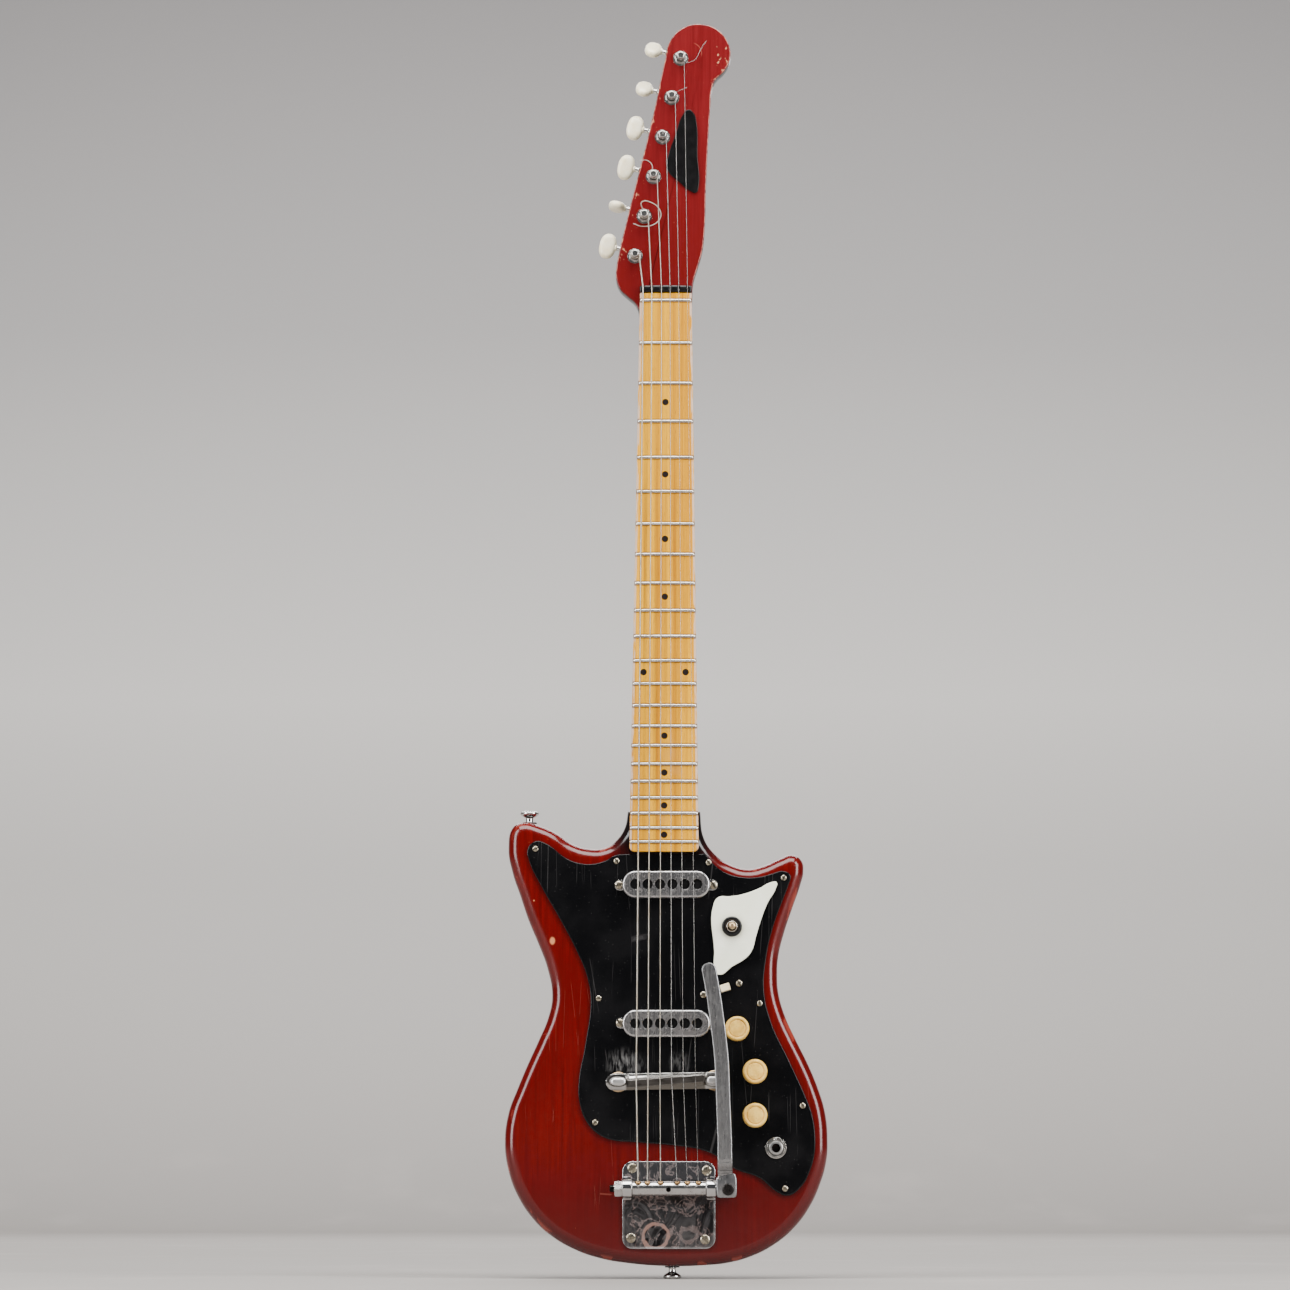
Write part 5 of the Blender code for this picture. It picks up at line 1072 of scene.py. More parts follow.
def build_guard():
    """The sheet with bevelled edge and its openings, the ivory corner over it, and their screws."""
    guard = slab(smooth_outline(GUARD_OUTLINE, 7), GAP, GUARD_TOP, 0.7, 0.0, 4)
    cutters = []
    for z in PICKUP_Z:
        cutters.append(slab(stadium(57, 12, 3, 3) + np.array((0, z)), -1, 4))
    for x, z in KNOBS:
        cutters.append(post(x, z, -1, 4, 4.7))
    cutters.append(post(*TOGGLE, -1, 4, 6.0))
    cutters.append(post(*JACK, -1, 4, 5.2))
    for side in (-1, 1):
        cutters.append(post(side * FOOT_X, foot_z(side), -1, 4, 3.3))
    slot = slab(stadium(14.0, 6.0, 0.4, 2), -1, 4)
    cutters.append(moved(slot, (*SLIDE_CENTRE, 0), SLIDE_ANGLE))
    add_piece(
        "guard_sheet", carved(guard, *cutters), GUARD, replaces=["pickguard"], angle=30
    )
    corner = slab(smooth_outline(CORNER_OUTLINE, 7), 2.6, 4.3, 0.5, 0.0, 4)
    corner = carved(corner, post(*TOGGLE, 0, 6, 6.0))
    add_piece("corner_sheet", corner, IVORY, replaces=["corner_plate"], angle=30)
    spots = (
        (-99, 322.5), (-37.5, 313.2), (32.2, 312.2), (89, 300.5), (-51, 209.5), (70.5, 205.7), (102.5, 129),
        (-53.5, 116.5), (89, 67.2),
    )
    screws("guard_screws", spots, 2.25, 1.2, GUARD_TOP, SCREW_METAL)


def build_pickup(name, z):
    """A round-ended cover, hollowed from below, with six round-edged holes."""
    cover = slab(stadium(66, 20.4, 9.8, 14) + np.array((0, z)), 2.6, 8.6, 1.5, 0.0, 6)
    hollow = slab(stadium(63.8, 18.2, 8.7, 14) + np.array((0, z)), 1.6, 7.5, 0.8, 0.0, 4)
    cover = carved(cover, hollow)
    holes = []
    for number in range(6):
        profile = soften(
            ((0, 5.0), (3.8, 5.0), (3.8, 7.9), (3.95, 8.3), (4.55, 8.9), (4.55, 9.4), (0, 9.4)), 0.3
        )
        holes.append(moved(lathe(profile, 40), ((number - 2.5) * 9.35, z, 0)))
    cover = carved(cover, *holes)
    replaced = [f"pickup_cover_{name}"]
    add_piece(f"pickup_shell_{name}", cover, PICKUP_CHROME, replaces=replaced, angle=28)


def build_pickups():
    """Both covers, their four end tabs with screws, and the coils below."""
    for name, z in zip(("neck", "bridge"), PICKUP_Z):
        build_pickup(name, z)
    tabs = [
        moved(slab(stadium(9.0, 8.0, 3.7, 8), 2.35, 3.2, 0.2, 0.0, 2), (x, z, 0))
        for x, z in ((-34.5, 295), (34.5, 295), (-33.5, 191), (34.5, 190))
    ]
    add_piece("pickup_tabs", merge(*tabs), PLATE_CHROME)
    spots = ((-35.8, 295), (35.8, 295), (-34.9, 191), (35.8, 190))
    screws("pickup_screws", spots, 3.2, 1.9, 3.2, SCREW_METAL)
    for name in ("pickup_coil_neck", "pickup_coil_bridge"):
        paint_node(name, BLACK)


def paint_node(name, material):
    """Gives a CAD node that stays in view one of the finishes here."""
    mesh = frame["nodes"][name].data
    mesh.materials.clear()
    mesh.materials.append(material)


def build_knobs():
    """A turned cap with a round rim, a fine groove inside it and a hollow for the pot's bushing."""
    top = 14.6
    corners = (
        (0, top - 0.45), (5.9, top - 0.45), (6.3, top - 0.95), (6.7, top - 0.95), (7.0, top - 0.1),
        (8.2, top),
        (9.0, top - 0.9), (9.25, top - 2.6), (9.25, 3.1), (7.65, 3.1), (7.65, 5.5), (3.0, 5.5), (3.0, -8.0),
        (0, -8.0),
    )
    profile = soften(corners, 0.35)
    for number, (x, z) in enumerate(KNOBS, 1):
        shape = moved(lathe(profile, 72), (x, z, 0))
        add_piece(
            f"knob_cap_{number}", shape, KNOB_CREAM, f"knob_{number}", [f"knob_{number}"], 40
        )
        paint_node(f"pot_{number}", STEEL)


def build_slide_switch():
    """The cap rides 3 mm along the slot from its middle, on a narrow stem."""
    rest = 3.0
    x, z = SLIDE_CENTRE[0] + rest * math.cos(SLIDE_ANGLE), SLIDE_CENTRE[1] + rest * math.sin(SLIDE_ANGLE)
    cap = moved(slab(stadium(7.4, 5.4, 0.7, 4), 0.3, 7.0, 0.6, 0.0, 4), (x, z, 0), SLIDE_ANGLE)
    stem = moved(slab(stadium(3.4, 3.0, 0.3, 2), -5.5, 0.6), (x, z, 0), SLIDE_ANGLE)
    cap = carved(cap, stem, operation="UNION")
    add_piece("slide_cap", cap, CAP_CREAM, "slide_switch", ["slide_switch_cap"], 35)
    paint_node("slide_switch_body", STEEL)
    screws("slide_screws", ((28.0, 212.3), (55.0, 220.8)), 2.5, 1.4, GUARD_TOP, SCREW_METAL)


def build_toggle():
    """A ring and its case, a thin bushing in it, and a turned lever."""
    low = 4.6
    corners = (
        (4.4, low), (7.75, low), (7.75, low + 0.9), (7.2, low + 2.0), (5.2, low + 2.5), (4.4, low + 1.9),
        (4.4, low + 0.2),
    )
    ring = ring_body(soften(corners, 0.5), 56)
    corners = ((4.4, low + 0.1), (5.7, low + 0.1), (5.7, -0.3), (8.6, -0.3), (8.6, -17.0), (4.4, -17.0))
    case = moved(merge(ring, ring_body(corners, 40)), (*TOGGLE, 0))
    add_piece("toggle_ring", case, BLACK, replaces=["toggle_body"], angle=40)
    corners = ((3.25, 1.0), (4.2, 1.0), (4.2, 7.2), (3.9, 7.6), (3.5, 7.6), (3.25, 7.2), (3.25, 1.3))
    bushing = ring_body(soften(corners, 0.2), 40)
    add_piece("toggle_bushing", moved(bushing, (*TOGGLE, 0)), NICKEL)
    corners = (
        (0, -3.2), (2.2, -2.6), (2.6, 0), (2.2, 2.4), (1.5, 3.6), (1.45, 9.0), (1.9, 11.5), (2.55, 13.6),
        (2.75, 15.6), (2.2, 17.3), (0, 18.0),
    )
    lever = moved(lathe(soften(corners, 1.0), 40), (*TOGGLE, 0))
    add_piece("toggle_stick", lever, BRASS, "toggle", ["toggle_lever"], 50)


def build_jack():
    """A hexagon nut with a washer, on a sleeve whose thread is a cosine of 0.8 mm pitch."""
    corners = (
        (5.2, 2.9), (6.9, 2.9), (7.25, 3.2), (7.25, 4.3), (6.5, 4.8), (5.4, 4.8), (5.2, 4.6), (5.2, 3.0),
    )
    nut = ring_body(soften(corners, 0.1), 96, sides=6, across=12.56, turn=math.radians(12))
    corners = ((5.2, 2.4), (7.9, 2.4), (8.0, 2.6), (7.8, 2.85), (5.2, 2.85), (5.2, 2.5))
    nut = moved(merge(nut, ring_body(soften(corners, 0.1), 64)), (*JACK, 0))
    add_piece("jack_nut_hex", nut, NICKEL, replaces=["jack_nut"], angle=30)
    along = np.linspace(2.3, 5.6, 34)
    thread = np.column_stack((4.9 + 0.16 * np.cos(along * math.tau / 0.8), along))
    inner = ((3.3, -22.0), (4.9, -22.0), (4.9, -3.0), (6.5, -3.0), (6.5, -0.3), (4.9, -0.3))
    profile = np.vstack((inner, thread, ((4.4, 5.9), (3.6, 5.9), (3.3, 5.5), (3.3, -21.0))))
    add_piece(
        "jack_sleeve", moved(ring_body(profile, 40), (*JACK, 0)), STEEL, replaces=["jack"],
        angle=40
    )
    lining = ring_body(((3.3, -21.5), (3.3, -0.5), (3.15, -0.5), (3.15, -21.5)), 40)
    add_piece("jack_lining", moved(lining, (*JACK, 0)), BLACK, angle=40)


# ---------------------------------------------------------------- bridge and vibrato



def along_bar(profile, segments=48, **options):
    """A profile of (radius, x) turned about the vibrato's axis."""
    return framed(lathe(profile, segments, **options), (0, BAR_Z, BAR_HEIGHT), ALONG_X)


def build_bridge():
    """Sections across the bridge, at each x: a flange, a slope up to the saddle ridge and a ledge behind it.
    The half width w shrinks as sqrt(1 - t^2) over the round ends, and the ridge sinks beyond the strings."""
    end = 1 - np.cos(np.linspace(0, math.pi / 2, 12))
    middle = (np.linspace(-38.5, -30.5, 6), np.linspace(-30.0, 30.0, 81), np.linspace(30.5, 37.5, 6))
    x = np.concatenate((-45.5 + 6.2 * end, *middle, 44.5 - 6.2 * end[::-1]))
    over = (np.abs(x + 0.5) - 38.8).clip(0) / 6.2
    w = 6.2 * np.sqrt((1 - over**2).clip(0.002))
    centre = 147.3 + x * 1.2 / 72
    up = 1 - np.clip((np.abs(x) - 28.0) / 2.4, 0, 1)
    up = up * up * (3 - 2 * up)
    step = 0.45 * np.tanh((x - 4.5) * 3.0) + 0.45 * np.tanh((x - 13.0) * 3.0)
    ridge = saddle_z(x) - centre - step * 0.7 * up
    ridge = ridge.clip(-w * 0.7, w * 0.7)
    top = 8.1 + (SADDLE_TOP - 8.1) * up
    ledge = 7.9 + 2.6 * up
    columns = (
        (-w, 5.5 + 0 * x), (-w, 7.0 + 0 * x), (-w + 0.12 * w, 7.5 + 0 * x), (-w * 0.62, 7.75 + 0 * x),
        (-w * 0.5, 7.9 + 0.5 * up), (ridge - 0.9, top - 0.7 * up), (ridge - 0.4, top - 0.1 * up),
        (ridge, top),
        (ridge + 0.4, top - 0.15 * up), (ridge + 0.8, top - 1.2 * up),
        (ridge * 0.5 + w * 0.5, ledge + 0.1 * up),
        (w * 0.9, ledge - 0.1), (w * 0.985, ledge - 0.6), (w, ledge - 1.3), (w, 5.5 + 0 * x),
    )
    z = np.stack([centre + across for across, _ in columns], 1)
    height = np.stack([level for _, level in columns], 1)
    bar = skin(np.stack((np.repeat(x[:, None], z.shape[1], 1), z, height), -1))
    for side in (-1, 1):
        boss = moved(
            slab(stadium(12.0, 6.6, 3.1, 8), 7.0, 10.4, 2.2, 0.0, 6), (side * FOOT_X, foot_z(side), 0)
        )
        bar = carved(bar, boss, operation="UNION")
        bar = carved(bar, post(side * FOOT_X, foot_z(side), 4.0, 8.2, 2.3))
    add_piece("bridge_casting", bar, BRIDGE_METAL, replaces=["bridge_bar"], angle=24)
    corners = (
        (0, 7.8), (2.0, 7.8), (2.0, 5.1), (7.0, 5.1), (7.6, 4.6), (7.6, 3.0), (7.1, 2.6), (3.0, 2.6),
        (3.0, -14.0), (0, -14.0),
    )
    points, faces = lathe(soften(corners, 0.2), 96)
    radius = np.hypot(points[:, 0], points[:, 1])
    knurl = 1 + 0.018 * np.cos(np.arctan2(points[:, 1], points[:, 0]) * 48) * (radius > 7.3)
    points = points * np.stack((knurl, knurl, np.ones(len(knurl))), -1)
    for name, side in (("bass", -1), ("treble", 1)):
        foot = moved((points, faces), (side * FOOT_X, foot_z(side), 0))
        add_piece(
            f"bridge_wheel_{name}", foot, BRASS, replaces=[f"bridge_foot_{name}"], angle=35
        )


def build_vibrato_plate():
    """A flat plate with two round lugs on feet, bored for the axle."""
    outline = stadium(69.7, 65.1, 7.5, 8) + np.array((1.85, 55.05))
    plate = slab(outline, GAP, 1.9, 0.45, 0.0, 4)
    plate = carved(plate, block((-5.5, 5.5), (BAR_Z - 5, BAR_Z + 5), (-1, 3)))
    for left, right in LUGS:
        lug = along_bar(soften(((0, left), (7.2, left), (7.2, right), (0, right)), 0.5), 56)
        middle = ((left + right) / 2, BAR_Z, 0)
        cheek = moved(slab(stadium(right - left, 13.4, 0.5, 3), 0.9, 6.5), middle)
        foot = moved(slab(stadium(right - left, 17.6, 1.2, 3), 0.9, 3.1, 0.9, 0.0, 3), middle)
        plate = carved(plate, lug, cheek, foot, operation="UNION")
    bore = along_bar(((0, -40.0), (3.0, -40.0), (3.0, 40.0), (0, 40.0)), 32)
    plate = carved(plate, bore)
    add_piece("vibrato_base", plate, VIBRATO_CHROME, replaces=["vibrato_plate"], angle=30)
    spots = ((-25.5, 82.5), (30.2, 80.7), (-26.5, 30.7), (29.0, 29.5))
    screws("vibrato_screws", spots, 3.75, 1.7, 1.85, SCREW_METAL, lean=(0.5, 2.6, 1.9, 0.2))
    paint_node("vibrato_spring", STEEL)


def build_vibrato_bar():
    """The bar with its axle, pockets for the ball ends and tongue, then balls, nut and washer."""
    corners = (
        (0, -42.5), (2.3, -42.5), (2.7, -42.0), (2.7, -25.6), (BAR_RADIUS, -25.6), (BAR_RADIUS, 29.6),
        (2.7, 29.6), (2.7, 42.0), (0, 42.0),
    )
    bar = along_bar(soften(corners, 0.4), 64)
    side = np.array((1, 0, 0))
    axes = (side, np.cross(BALL_AXIS, side), BALL_AXIS)
    pocket = lathe(((0, 1.6), (2.3, 1.6), (2.3, 5.0), (2.7, 5.9), (2.7, 8.0), (0, 8.0)), 28)
    pockets = [framed(pocket, (x, BAR_Z, BAR_HEIGHT), axes) for x in STRING_X_BAR]
    bar = carved(bar, *pockets, post(1.5, 66.5, 11.0, 16.0, 1.75, 24))
    tongue = moved(slab(stadium(8.0, 1.8, 0.4, 3), -14.9, 6.0, 0.3, 0.3, 3), (0, BAR_Z + 0.6, 0))
    bar = carved(bar, tongue, operation="UNION")
    add_piece("string_bar", bar, BAR_CHROME, "vibrato", ["vibrato_bar"], 35)
    corners = (
        (0.6, -1.6), (1.9, -1.6), (2.0, -0.9), (1.5, -0.5), (1.5, 0.5), (2.0, 0.9), (1.9, 1.6), (0.6, 1.6),
        (0.6, -1.5),
    )
    ball = ring_body(soften(corners, 0.2), 28)
    balls = []
    for x in STRING_X_BAR:
        balls.append(framed(ball, np.array((x, BAR_Z, BAR_HEIGHT)) + BALL_AXIS * 4.9, ALONG_X))
    add_piece("string_balls", merge(*balls), BALL_BRASS, "vibrato", angle=40)
    left = -38.9
    corners = (
        (3.0, left), (5.9, left), (6.6, left + 0.5), (6.6, left + 5.1), (5.9, left + 5.6), (3.0, left + 5.6),
        (3.0, left + 0.2),
    )
    nut = ring_body(soften(corners, 0.1), 96, sides=6, across=11.4, turn=0.1)
    nut = framed(nut, (0, BAR_Z, BAR_HEIGHT), ALONG_X)
    add_piece("axle_nut_hex", nut, BAR_CHROME, "vibrato", ["axle_nut"], 30)
    corners = ((3.1, -33.35), (6.9, -33.35), (6.9, -33.02), (3.1, -33.02), (3.1, -33.3))
    washer = framed(ring_body(soften(corners, 0.05), 48), (0, BAR_Z, BAR_HEIGHT), ALONG_X)
    add_piece("axle_washer", washer, NICKEL)


def build_hub():
    """The block at the end of the bar, bored for the axle and for the arm's screw."""
    hub = moved(slab(stadium(15.1, 15.8, 2.6, 8), 2.6, 15.8, 0.8, 1.2, 5), (44.85, 68.5, 0))
    bore = along_bar(((0, 36.0), (3.0, 36.0), (3.0, 42.3), (0, 42.3)), 32)
    hub = carved(hub, bore, post(*ARM_PIVOT, 8.5, 17.0, 2.5))
    add_piece("hub_block", hub, BAR_CHROME, "vibrato", ["arm_hub"], 32)


def build_arm():
    """The arm's section is a rounded rectangle carried along stations of (x, z, height, half width). Between
    stations a Catmull-Rom curve runs; the width closes as sqrt(1 - t^2) at both ends."""
    stations = spline(
        (
            (44.85, 62.6, 17.8, 7.3), (44.85, 64.0, 17.8, 7.5), (44.85, 69.0, 17.8, 7.55),
            (44.6, 74.8, 17.8, 7.5),
            (44.2, 76.6, 17.8, 6.2), (44.0, 77.8, 17.95, 5.6), (43.8, 79.6, 18.9, 5.5),
            (43.7, 82.5, 22.1, 5.5),
            (43.6, 85.6, 25.5, 5.5), (43.5, 88.0, 26.4, 5.5), (43.4, 93.0, 26.5, 5.5),
            (43.3, 105.0, 26.5, 5.45),
            (42.2, 135.0, 26.5, 5.4), (41.3, 160.0, 26.5, 5.45), (39.4, 180.0, 26.5, 5.5),
            (36.0, 206.0, 26.5, 5.5),
            (32.6, 226.0, 26.5, 5.5), (31.9, 229.5, 26.5, 5.5),
        ), 12,
    )
    first, last = stations[0], stations[-1]
    onward = unit(stations[-1] - stations[-2]) * np.array((1, 1, 1, 0))
    t = np.sin(np.linspace(0, math.pi / 2, 9))[1:] * 0.998
    tip = last + np.outer(t, onward * 5.5)
    tip[:, 3] = last[3] * np.sqrt(1 - t**2)
    start = first - np.outer(t, (0, 2.0, 0, 0))
    start[:, 3] = first[3] - 2.0 * (1 - np.sqrt(1 - t**2))
    stations = np.vstack((start[::-1], stations, tip))
    path, half = stations[:, :3], stations[:, 3]
    along = unit(np.gradient(path, axis=0))
    across = unit(np.stack((along[:, 1], -along[:, 0], 0 * along[:, 0]), -1))
    out = np.cross(across, along)
    z = path[:, 1]
    thick = np.interp(z, (60.6, 62.5, 66.0, 71.0, 74.5, 76.6, 80.0), (0.7, 1.3, 1.65, 1.65, 1.3, 1.0, 1.5))
    thick = thick - 0.35 * sum(np.exp(-(((z - at) / 0.45) ** 2)) for at in (77.2, 81.0, 87.0))
    corner = np.minimum(0.9, half * 0.7)
    quarter = np.repeat(np.arange(4), 5)
    angle = math.pi / 2 * (quarter + np.tile(np.linspace(0, 1, 5), 4))
    side = np.array((1, -1, -1, 1))[quarter] * (half - corner)[:, None] + corner[:, None] * np.cos(angle)
    rise = np.array((1, 1, -1, -1))[quarter] * (thick - corner).clip(0.1)[:, None]
    rise = rise + np.minimum(corner, thick)[:, None] * np.sin(angle)
    rows = path[:, None] + side[..., None] * across[:, None] + rise[..., None] * out[:, None]
    arm = skin(rows)
    arm = carved(arm, post(*ARM_PIVOT, 15.0, 18.0, 2.5), post(*ARM_PIVOT, 17.5, 22.0, 4.55, 40))
    add_piece("vibrato_lever", arm, ARM_METAL, "arm", ["vibrato_arm"], 32)
    corners = ((0, 8.8), (2.2, 8.8), (2.2, 17.8), (4.25, 17.8), (4.25, 19.8), (3.85, 20.2), (0, 20.2))
    screw = lathe(soften(corners, 0.25), 48)
    socket = lathe(((0, 18.4), (3.0, 18.4), (3.0, 21.0), (0, 21.0)), 60, sides=6, across=4.4)
    screw = moved(carved(screw, socket), (*ARM_PIVOT, 0))
    add_piece("arm_pivot_screw", screw, DARK_STEEL, "vibrato", ["arm_screw"], 30)


# ---------------------------------------------------------------- strings and tuners


def zero_fret_height(x):
    """The top of the zero fret over the front face."""
    return BOARD_TOP + 1.0 + float(camber(x))


def post_tangent(index):
    """Where string number index, from the low one, first touches its post, and that point's angle."""
    centre = tuner_spot(5 - index)
    radius = POST_WAIST + STRING_RADII[index] + 0.02
    start = np.array((STRING_X_GUIDE[index], GUIDE_REST_Z))
    to_post = centre - start
    distance = math.hypot(*to_post)
    bearing = math.atan2(to_post[1], to_post[0]) - math.asin(radius / distance)
    reach = math.sqrt(distance**2 - radius**2)
    touch = start + reach * np.array((math.cos(bearing), math.sin(bearing)))
    return touch, math.atan2(*(touch - centre)[::-1]), radius


def string_finish(index):
    """The three low strings are wound."""
    return (WOUND_WIRE, "nickel") if index < 3 else (PLAIN_WIRE, "steel")


def build_string(index):
    """Straight runs between its rests: bar pocket, saddle, zero fret, guide and post."""
    radius = STRING_RADII[index]
    bar_x, bridge_x, guide_x = STRING_X_BAR[index], STRING_X_BRIDGE[index], STRING_X_GUIDE[index]
    pocket = np.array((bar_x, BAR_Z, BAR_HEIGHT)) + BALL_AXIS * 4.6
    touch, _, _ = post_tangent(index)
    rests = np.array(
        (
            pocket,
            (bridge_x, float(saddle_z(bridge_x)), SADDLE_TOP + radius),
            (guide_x, ZERO_FRET_Z, zero_fret_height(guide_x) + radius),
            (guide_x, GUIDE_REST_Z, 9.2 + radius),
            (*touch, WRAP_TOP),
        )
    )
    counts = (40, 60, 4, 16)
    path = [np.linspace(a, b, n, endpoint=False) for a, b, n in zip(rests, rests[1:], counts)]
    path = np.vstack((*path, rests[-1:]))
    number = 6 - index
    material, slot = string_finish(index)
    piece = add_piece(f"string_wire_{number}", tube(path, radius, 10), material, None, (), 60)
    start, end = world((0, 100.0, 12.0)), world((0, 72.5, 12.0))
    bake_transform(piece)
    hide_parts(f"string_{number}")


# Loose ends of four strings: the first point is beside the post, and the rest are on the guitar.
TAILS = {
    1: (
        (-1.0, 4.0, 8.0), (-19.0, 821.0, 9.5), (-15.0, 822.5, 10.2), (-7.5, 819.0, 10.8), (-3.7, 812.5, 10.4),
        (-5.8, 806.7, 9.6), (-11.7, 803.3, 8.8), (-19.0, 803.0, 8.2), (-25.0, 805.3, 7.6),
    ),
    2: ((-1.0, 3.0, 8.2), (-10.3, 850.0, 9.0), (-11.7, 853.0, 9.3), (-15.0, 855.0, 9.0), (-19.7, 855.0, 8.4)),
    4: ((2.0, 1.5, 8.4), (10.0, 910.0, 8.9), (13.0, 911.2, 9.2), (16.7, 912.8, 9.0)),
    5: (
        (2.0, -1.5, 8.4), (16.7, 932.5, 9.4), (20.0, 933.2, 10.0), (23.3, 935.0, 10.2), (26.7, 942.0, 9.6),
        (29.0, 946.0, 9.0), (31.7, 950.0, 8.4),
    ),
}


def build_winding(index):
    """The string's turns round its post: a helix that climbs down by two radii a turn, then its cut end."""
    _, angle, radius = post_tangent(index)
    thick = STRING_RADII[index]
    centre = tuner_spot(5 - index)
    turns = (1.7, 2.1, 2.4, 3.1, 3.6, 4.2)[index]
    t = np.linspace(0, turns, int(turns * 24))
    theta = angle + math.tau * t
    helix = np.column_stack(
        (centre[0] + radius * np.cos(theta), centre[1] + radius * np.sin(theta), WRAP_TOP - 2.1 * thick * t)
    )
    shapes = [tube(helix, thick, 8)]
    if index in TAILS:
        first, *rest = TAILS[index]
        near = (centre[0] + first[0], centre[1] + first[1], first[2])
        curve = spline(np.array((near, *rest)), 10)
        shapes.append(tube(curve, thick * 0.9, 8))
    number = 6 - index
    material, slot = string_finish(index)
    add_piece(f"string_turns_{number}", merge(*shapes), material, f"post_{number}", (), 60)


def build_tuner(number):
    """A waisted post with an eye, and a gear of radius 3.95 + 1.1 clip(0.5 + 0.85 cos(14 a)). The hexagon
    bushing and washer round the post are returned, because they ride on the guitar."""
    x, z = tuner_spot(number - 1)
    low = WORM_HEIGHT - 1.9
    corners = (
        (0, 14.3), (1.6, 14.5), (2.5, 14.4), (3.0, 13.7), (3.0, 11.6), (2.5, 10.6), (2.5, 7.6), (3.0, 6.4),
        (3.0, low), (0, low),
    )
    shaft = lathe(soften(corners, 0.4), 36)
    eye = lathe(((0, -5.0), (0.9, -5.0), (0.9, 5.0), (0, 5.0)), 16)
    eye = framed(eye, (0, 0, 8.6), (OUTWARD, AWAY_3, ROW_3))
    shaft = carved(shaft, eye)
    angle = math.tau * np.arange(GEAR_TEETH * 14) / (GEAR_TEETH * 14)
    radius = 3.95 + 1.1 * np.clip(0.5 + 0.85 * np.cos(GEAR_TEETH * angle), 0, 1)
    rows = []
    for level, shrink in ((-1.5, 0.35), (-1.2, 0.0), (1.2, 0.0), (1.5, 0.35)):
        reach, height = radius - shrink, np.full(len(angle), WORM_HEIGHT + level)
        rows.append(np.column_stack((reach * np.cos(angle), reach * np.sin(angle), height)))
    gear = moved(skin(np.array(rows)), turn=ROW_TURN)
    post_shape = moved(merge(shaft, gear), (x, z, 0))
    add_piece(
        f"tuner_shaft_{number}", post_shape, NICKEL, f"post_{number}", [f"tuner_post_{number}"], 35
    )
    corners = (
        (3.35, 3.8), (4.8, 3.8), (5.3, 4.2), (5.3, 5.4), (4.7, 5.9), (4.2, 6.0), (4.0, 6.5), (3.5, 6.6),
        (3.35, 6.4), (3.35, 4.0),
    )
    nut = ring_body(soften(corners, 0.12), 72, sides=6, across=9.2, turn=0.35 * number)
    corners = ((3.4, 3.52), (5.9, 3.52), (5.9, 3.75), (3.4, 3.85), (3.4, 3.6))
    washer = ring_body(soften(corners, 0.05), 48)
    return moved(merge(nut, washer), (x, z, 0))


def build_button(number):
    """The paddle is an oval of 20 by 13 mm whose size goes as sin(t)^0.42 while its thickness goes as
    3.4 cos(t). The worm's radius is 1.65 + 0.45 cos of its place along a right-hand thread of 2.04 mm lead,
    cut off at the crests and the roots."""
    x, z = tuner_spot(number - 1)
    start = (x + ROW[0] * WORM_OFFSET, z + ROW[1] * WORM_OFFSET, WORM_HEIGHT)
    axes = (OUTWARD, ROW_3, AWAY_3)
    t = np.linspace(0, math.pi, 25)[:, None]
    phi = math.tau * np.arange(48)[None] / 48
    size = np.sin(t).clip(0) ** 0.42
    wide, long = (np.sign(part) * np.abs(part) ** 0.86 for part in (np.sin(phi), np.cos(phi)))
    rows = np.stack(
        (3.4 * np.cos(t) + 0 * phi, 10.0 * size * wide, 23.3 + 6.5 * size * long), -1
    )
    turn = math.radians((50, 50, 8, 0, 90, 0)[number - 1])
    paddle = moved(skin(rows, caps=False), turn=turn)
    collar = lathe(
        soften(((0, 16.0), (2.0, 16.0), (2.6, 16.5), (2.6, 17.6), (2.2, 19.0), (0, 19.4)), 0.4), 32
    )
    paddle = framed(merge(paddle, collar), start, axes)
    replaced, body = [f"tuner_button_{number}"], f"button_{number}"
    add_piece(f"button_paddle_{number}", paddle, BUTTON_CREAM, body, replaced, 50)
    ferrule_at = (10.4, 11.6, 12.4, 13.2, 13.3, 14.4, 16.2)
    worm_part, plain_part = np.linspace(-4.3, 4.3, 87), np.linspace(4.4, 10.0, 6)
    along = np.concatenate((np.linspace(-7.2, -4.4, 4), worm_part, plain_part, (10.1, *ferrule_at)))
    theta = math.tau * np.arange(32) / 32
    phase = math.tau * along[:, None] / 2.042 - theta[None] + math.pi / 2
    reach = np.clip((4.3 - np.abs(along)) / 0.8, 0, 1)[:, None]
    radius = 1.6 + reach * (0.05 + 0.45 * np.clip(0.4 + np.cos(phase), -0.3, 1.0))
    ferrule = np.interp(along, (10.0, *ferrule_at), (0, 0.7, 0.9, 0.5, 0.9, 0.6, 0.3, 0.3))
    radius = radius + ferrule[:, None]
    rows = np.stack((radius * np.cos(theta), radius * np.sin(theta), np.repeat(along[:, None], 32, 1)), -1)
    worm = framed(skin(rows), start, axes)
    add_piece(f"worm_shaft_{number}", worm, NICKEL, f"button_{number}", (), 40)


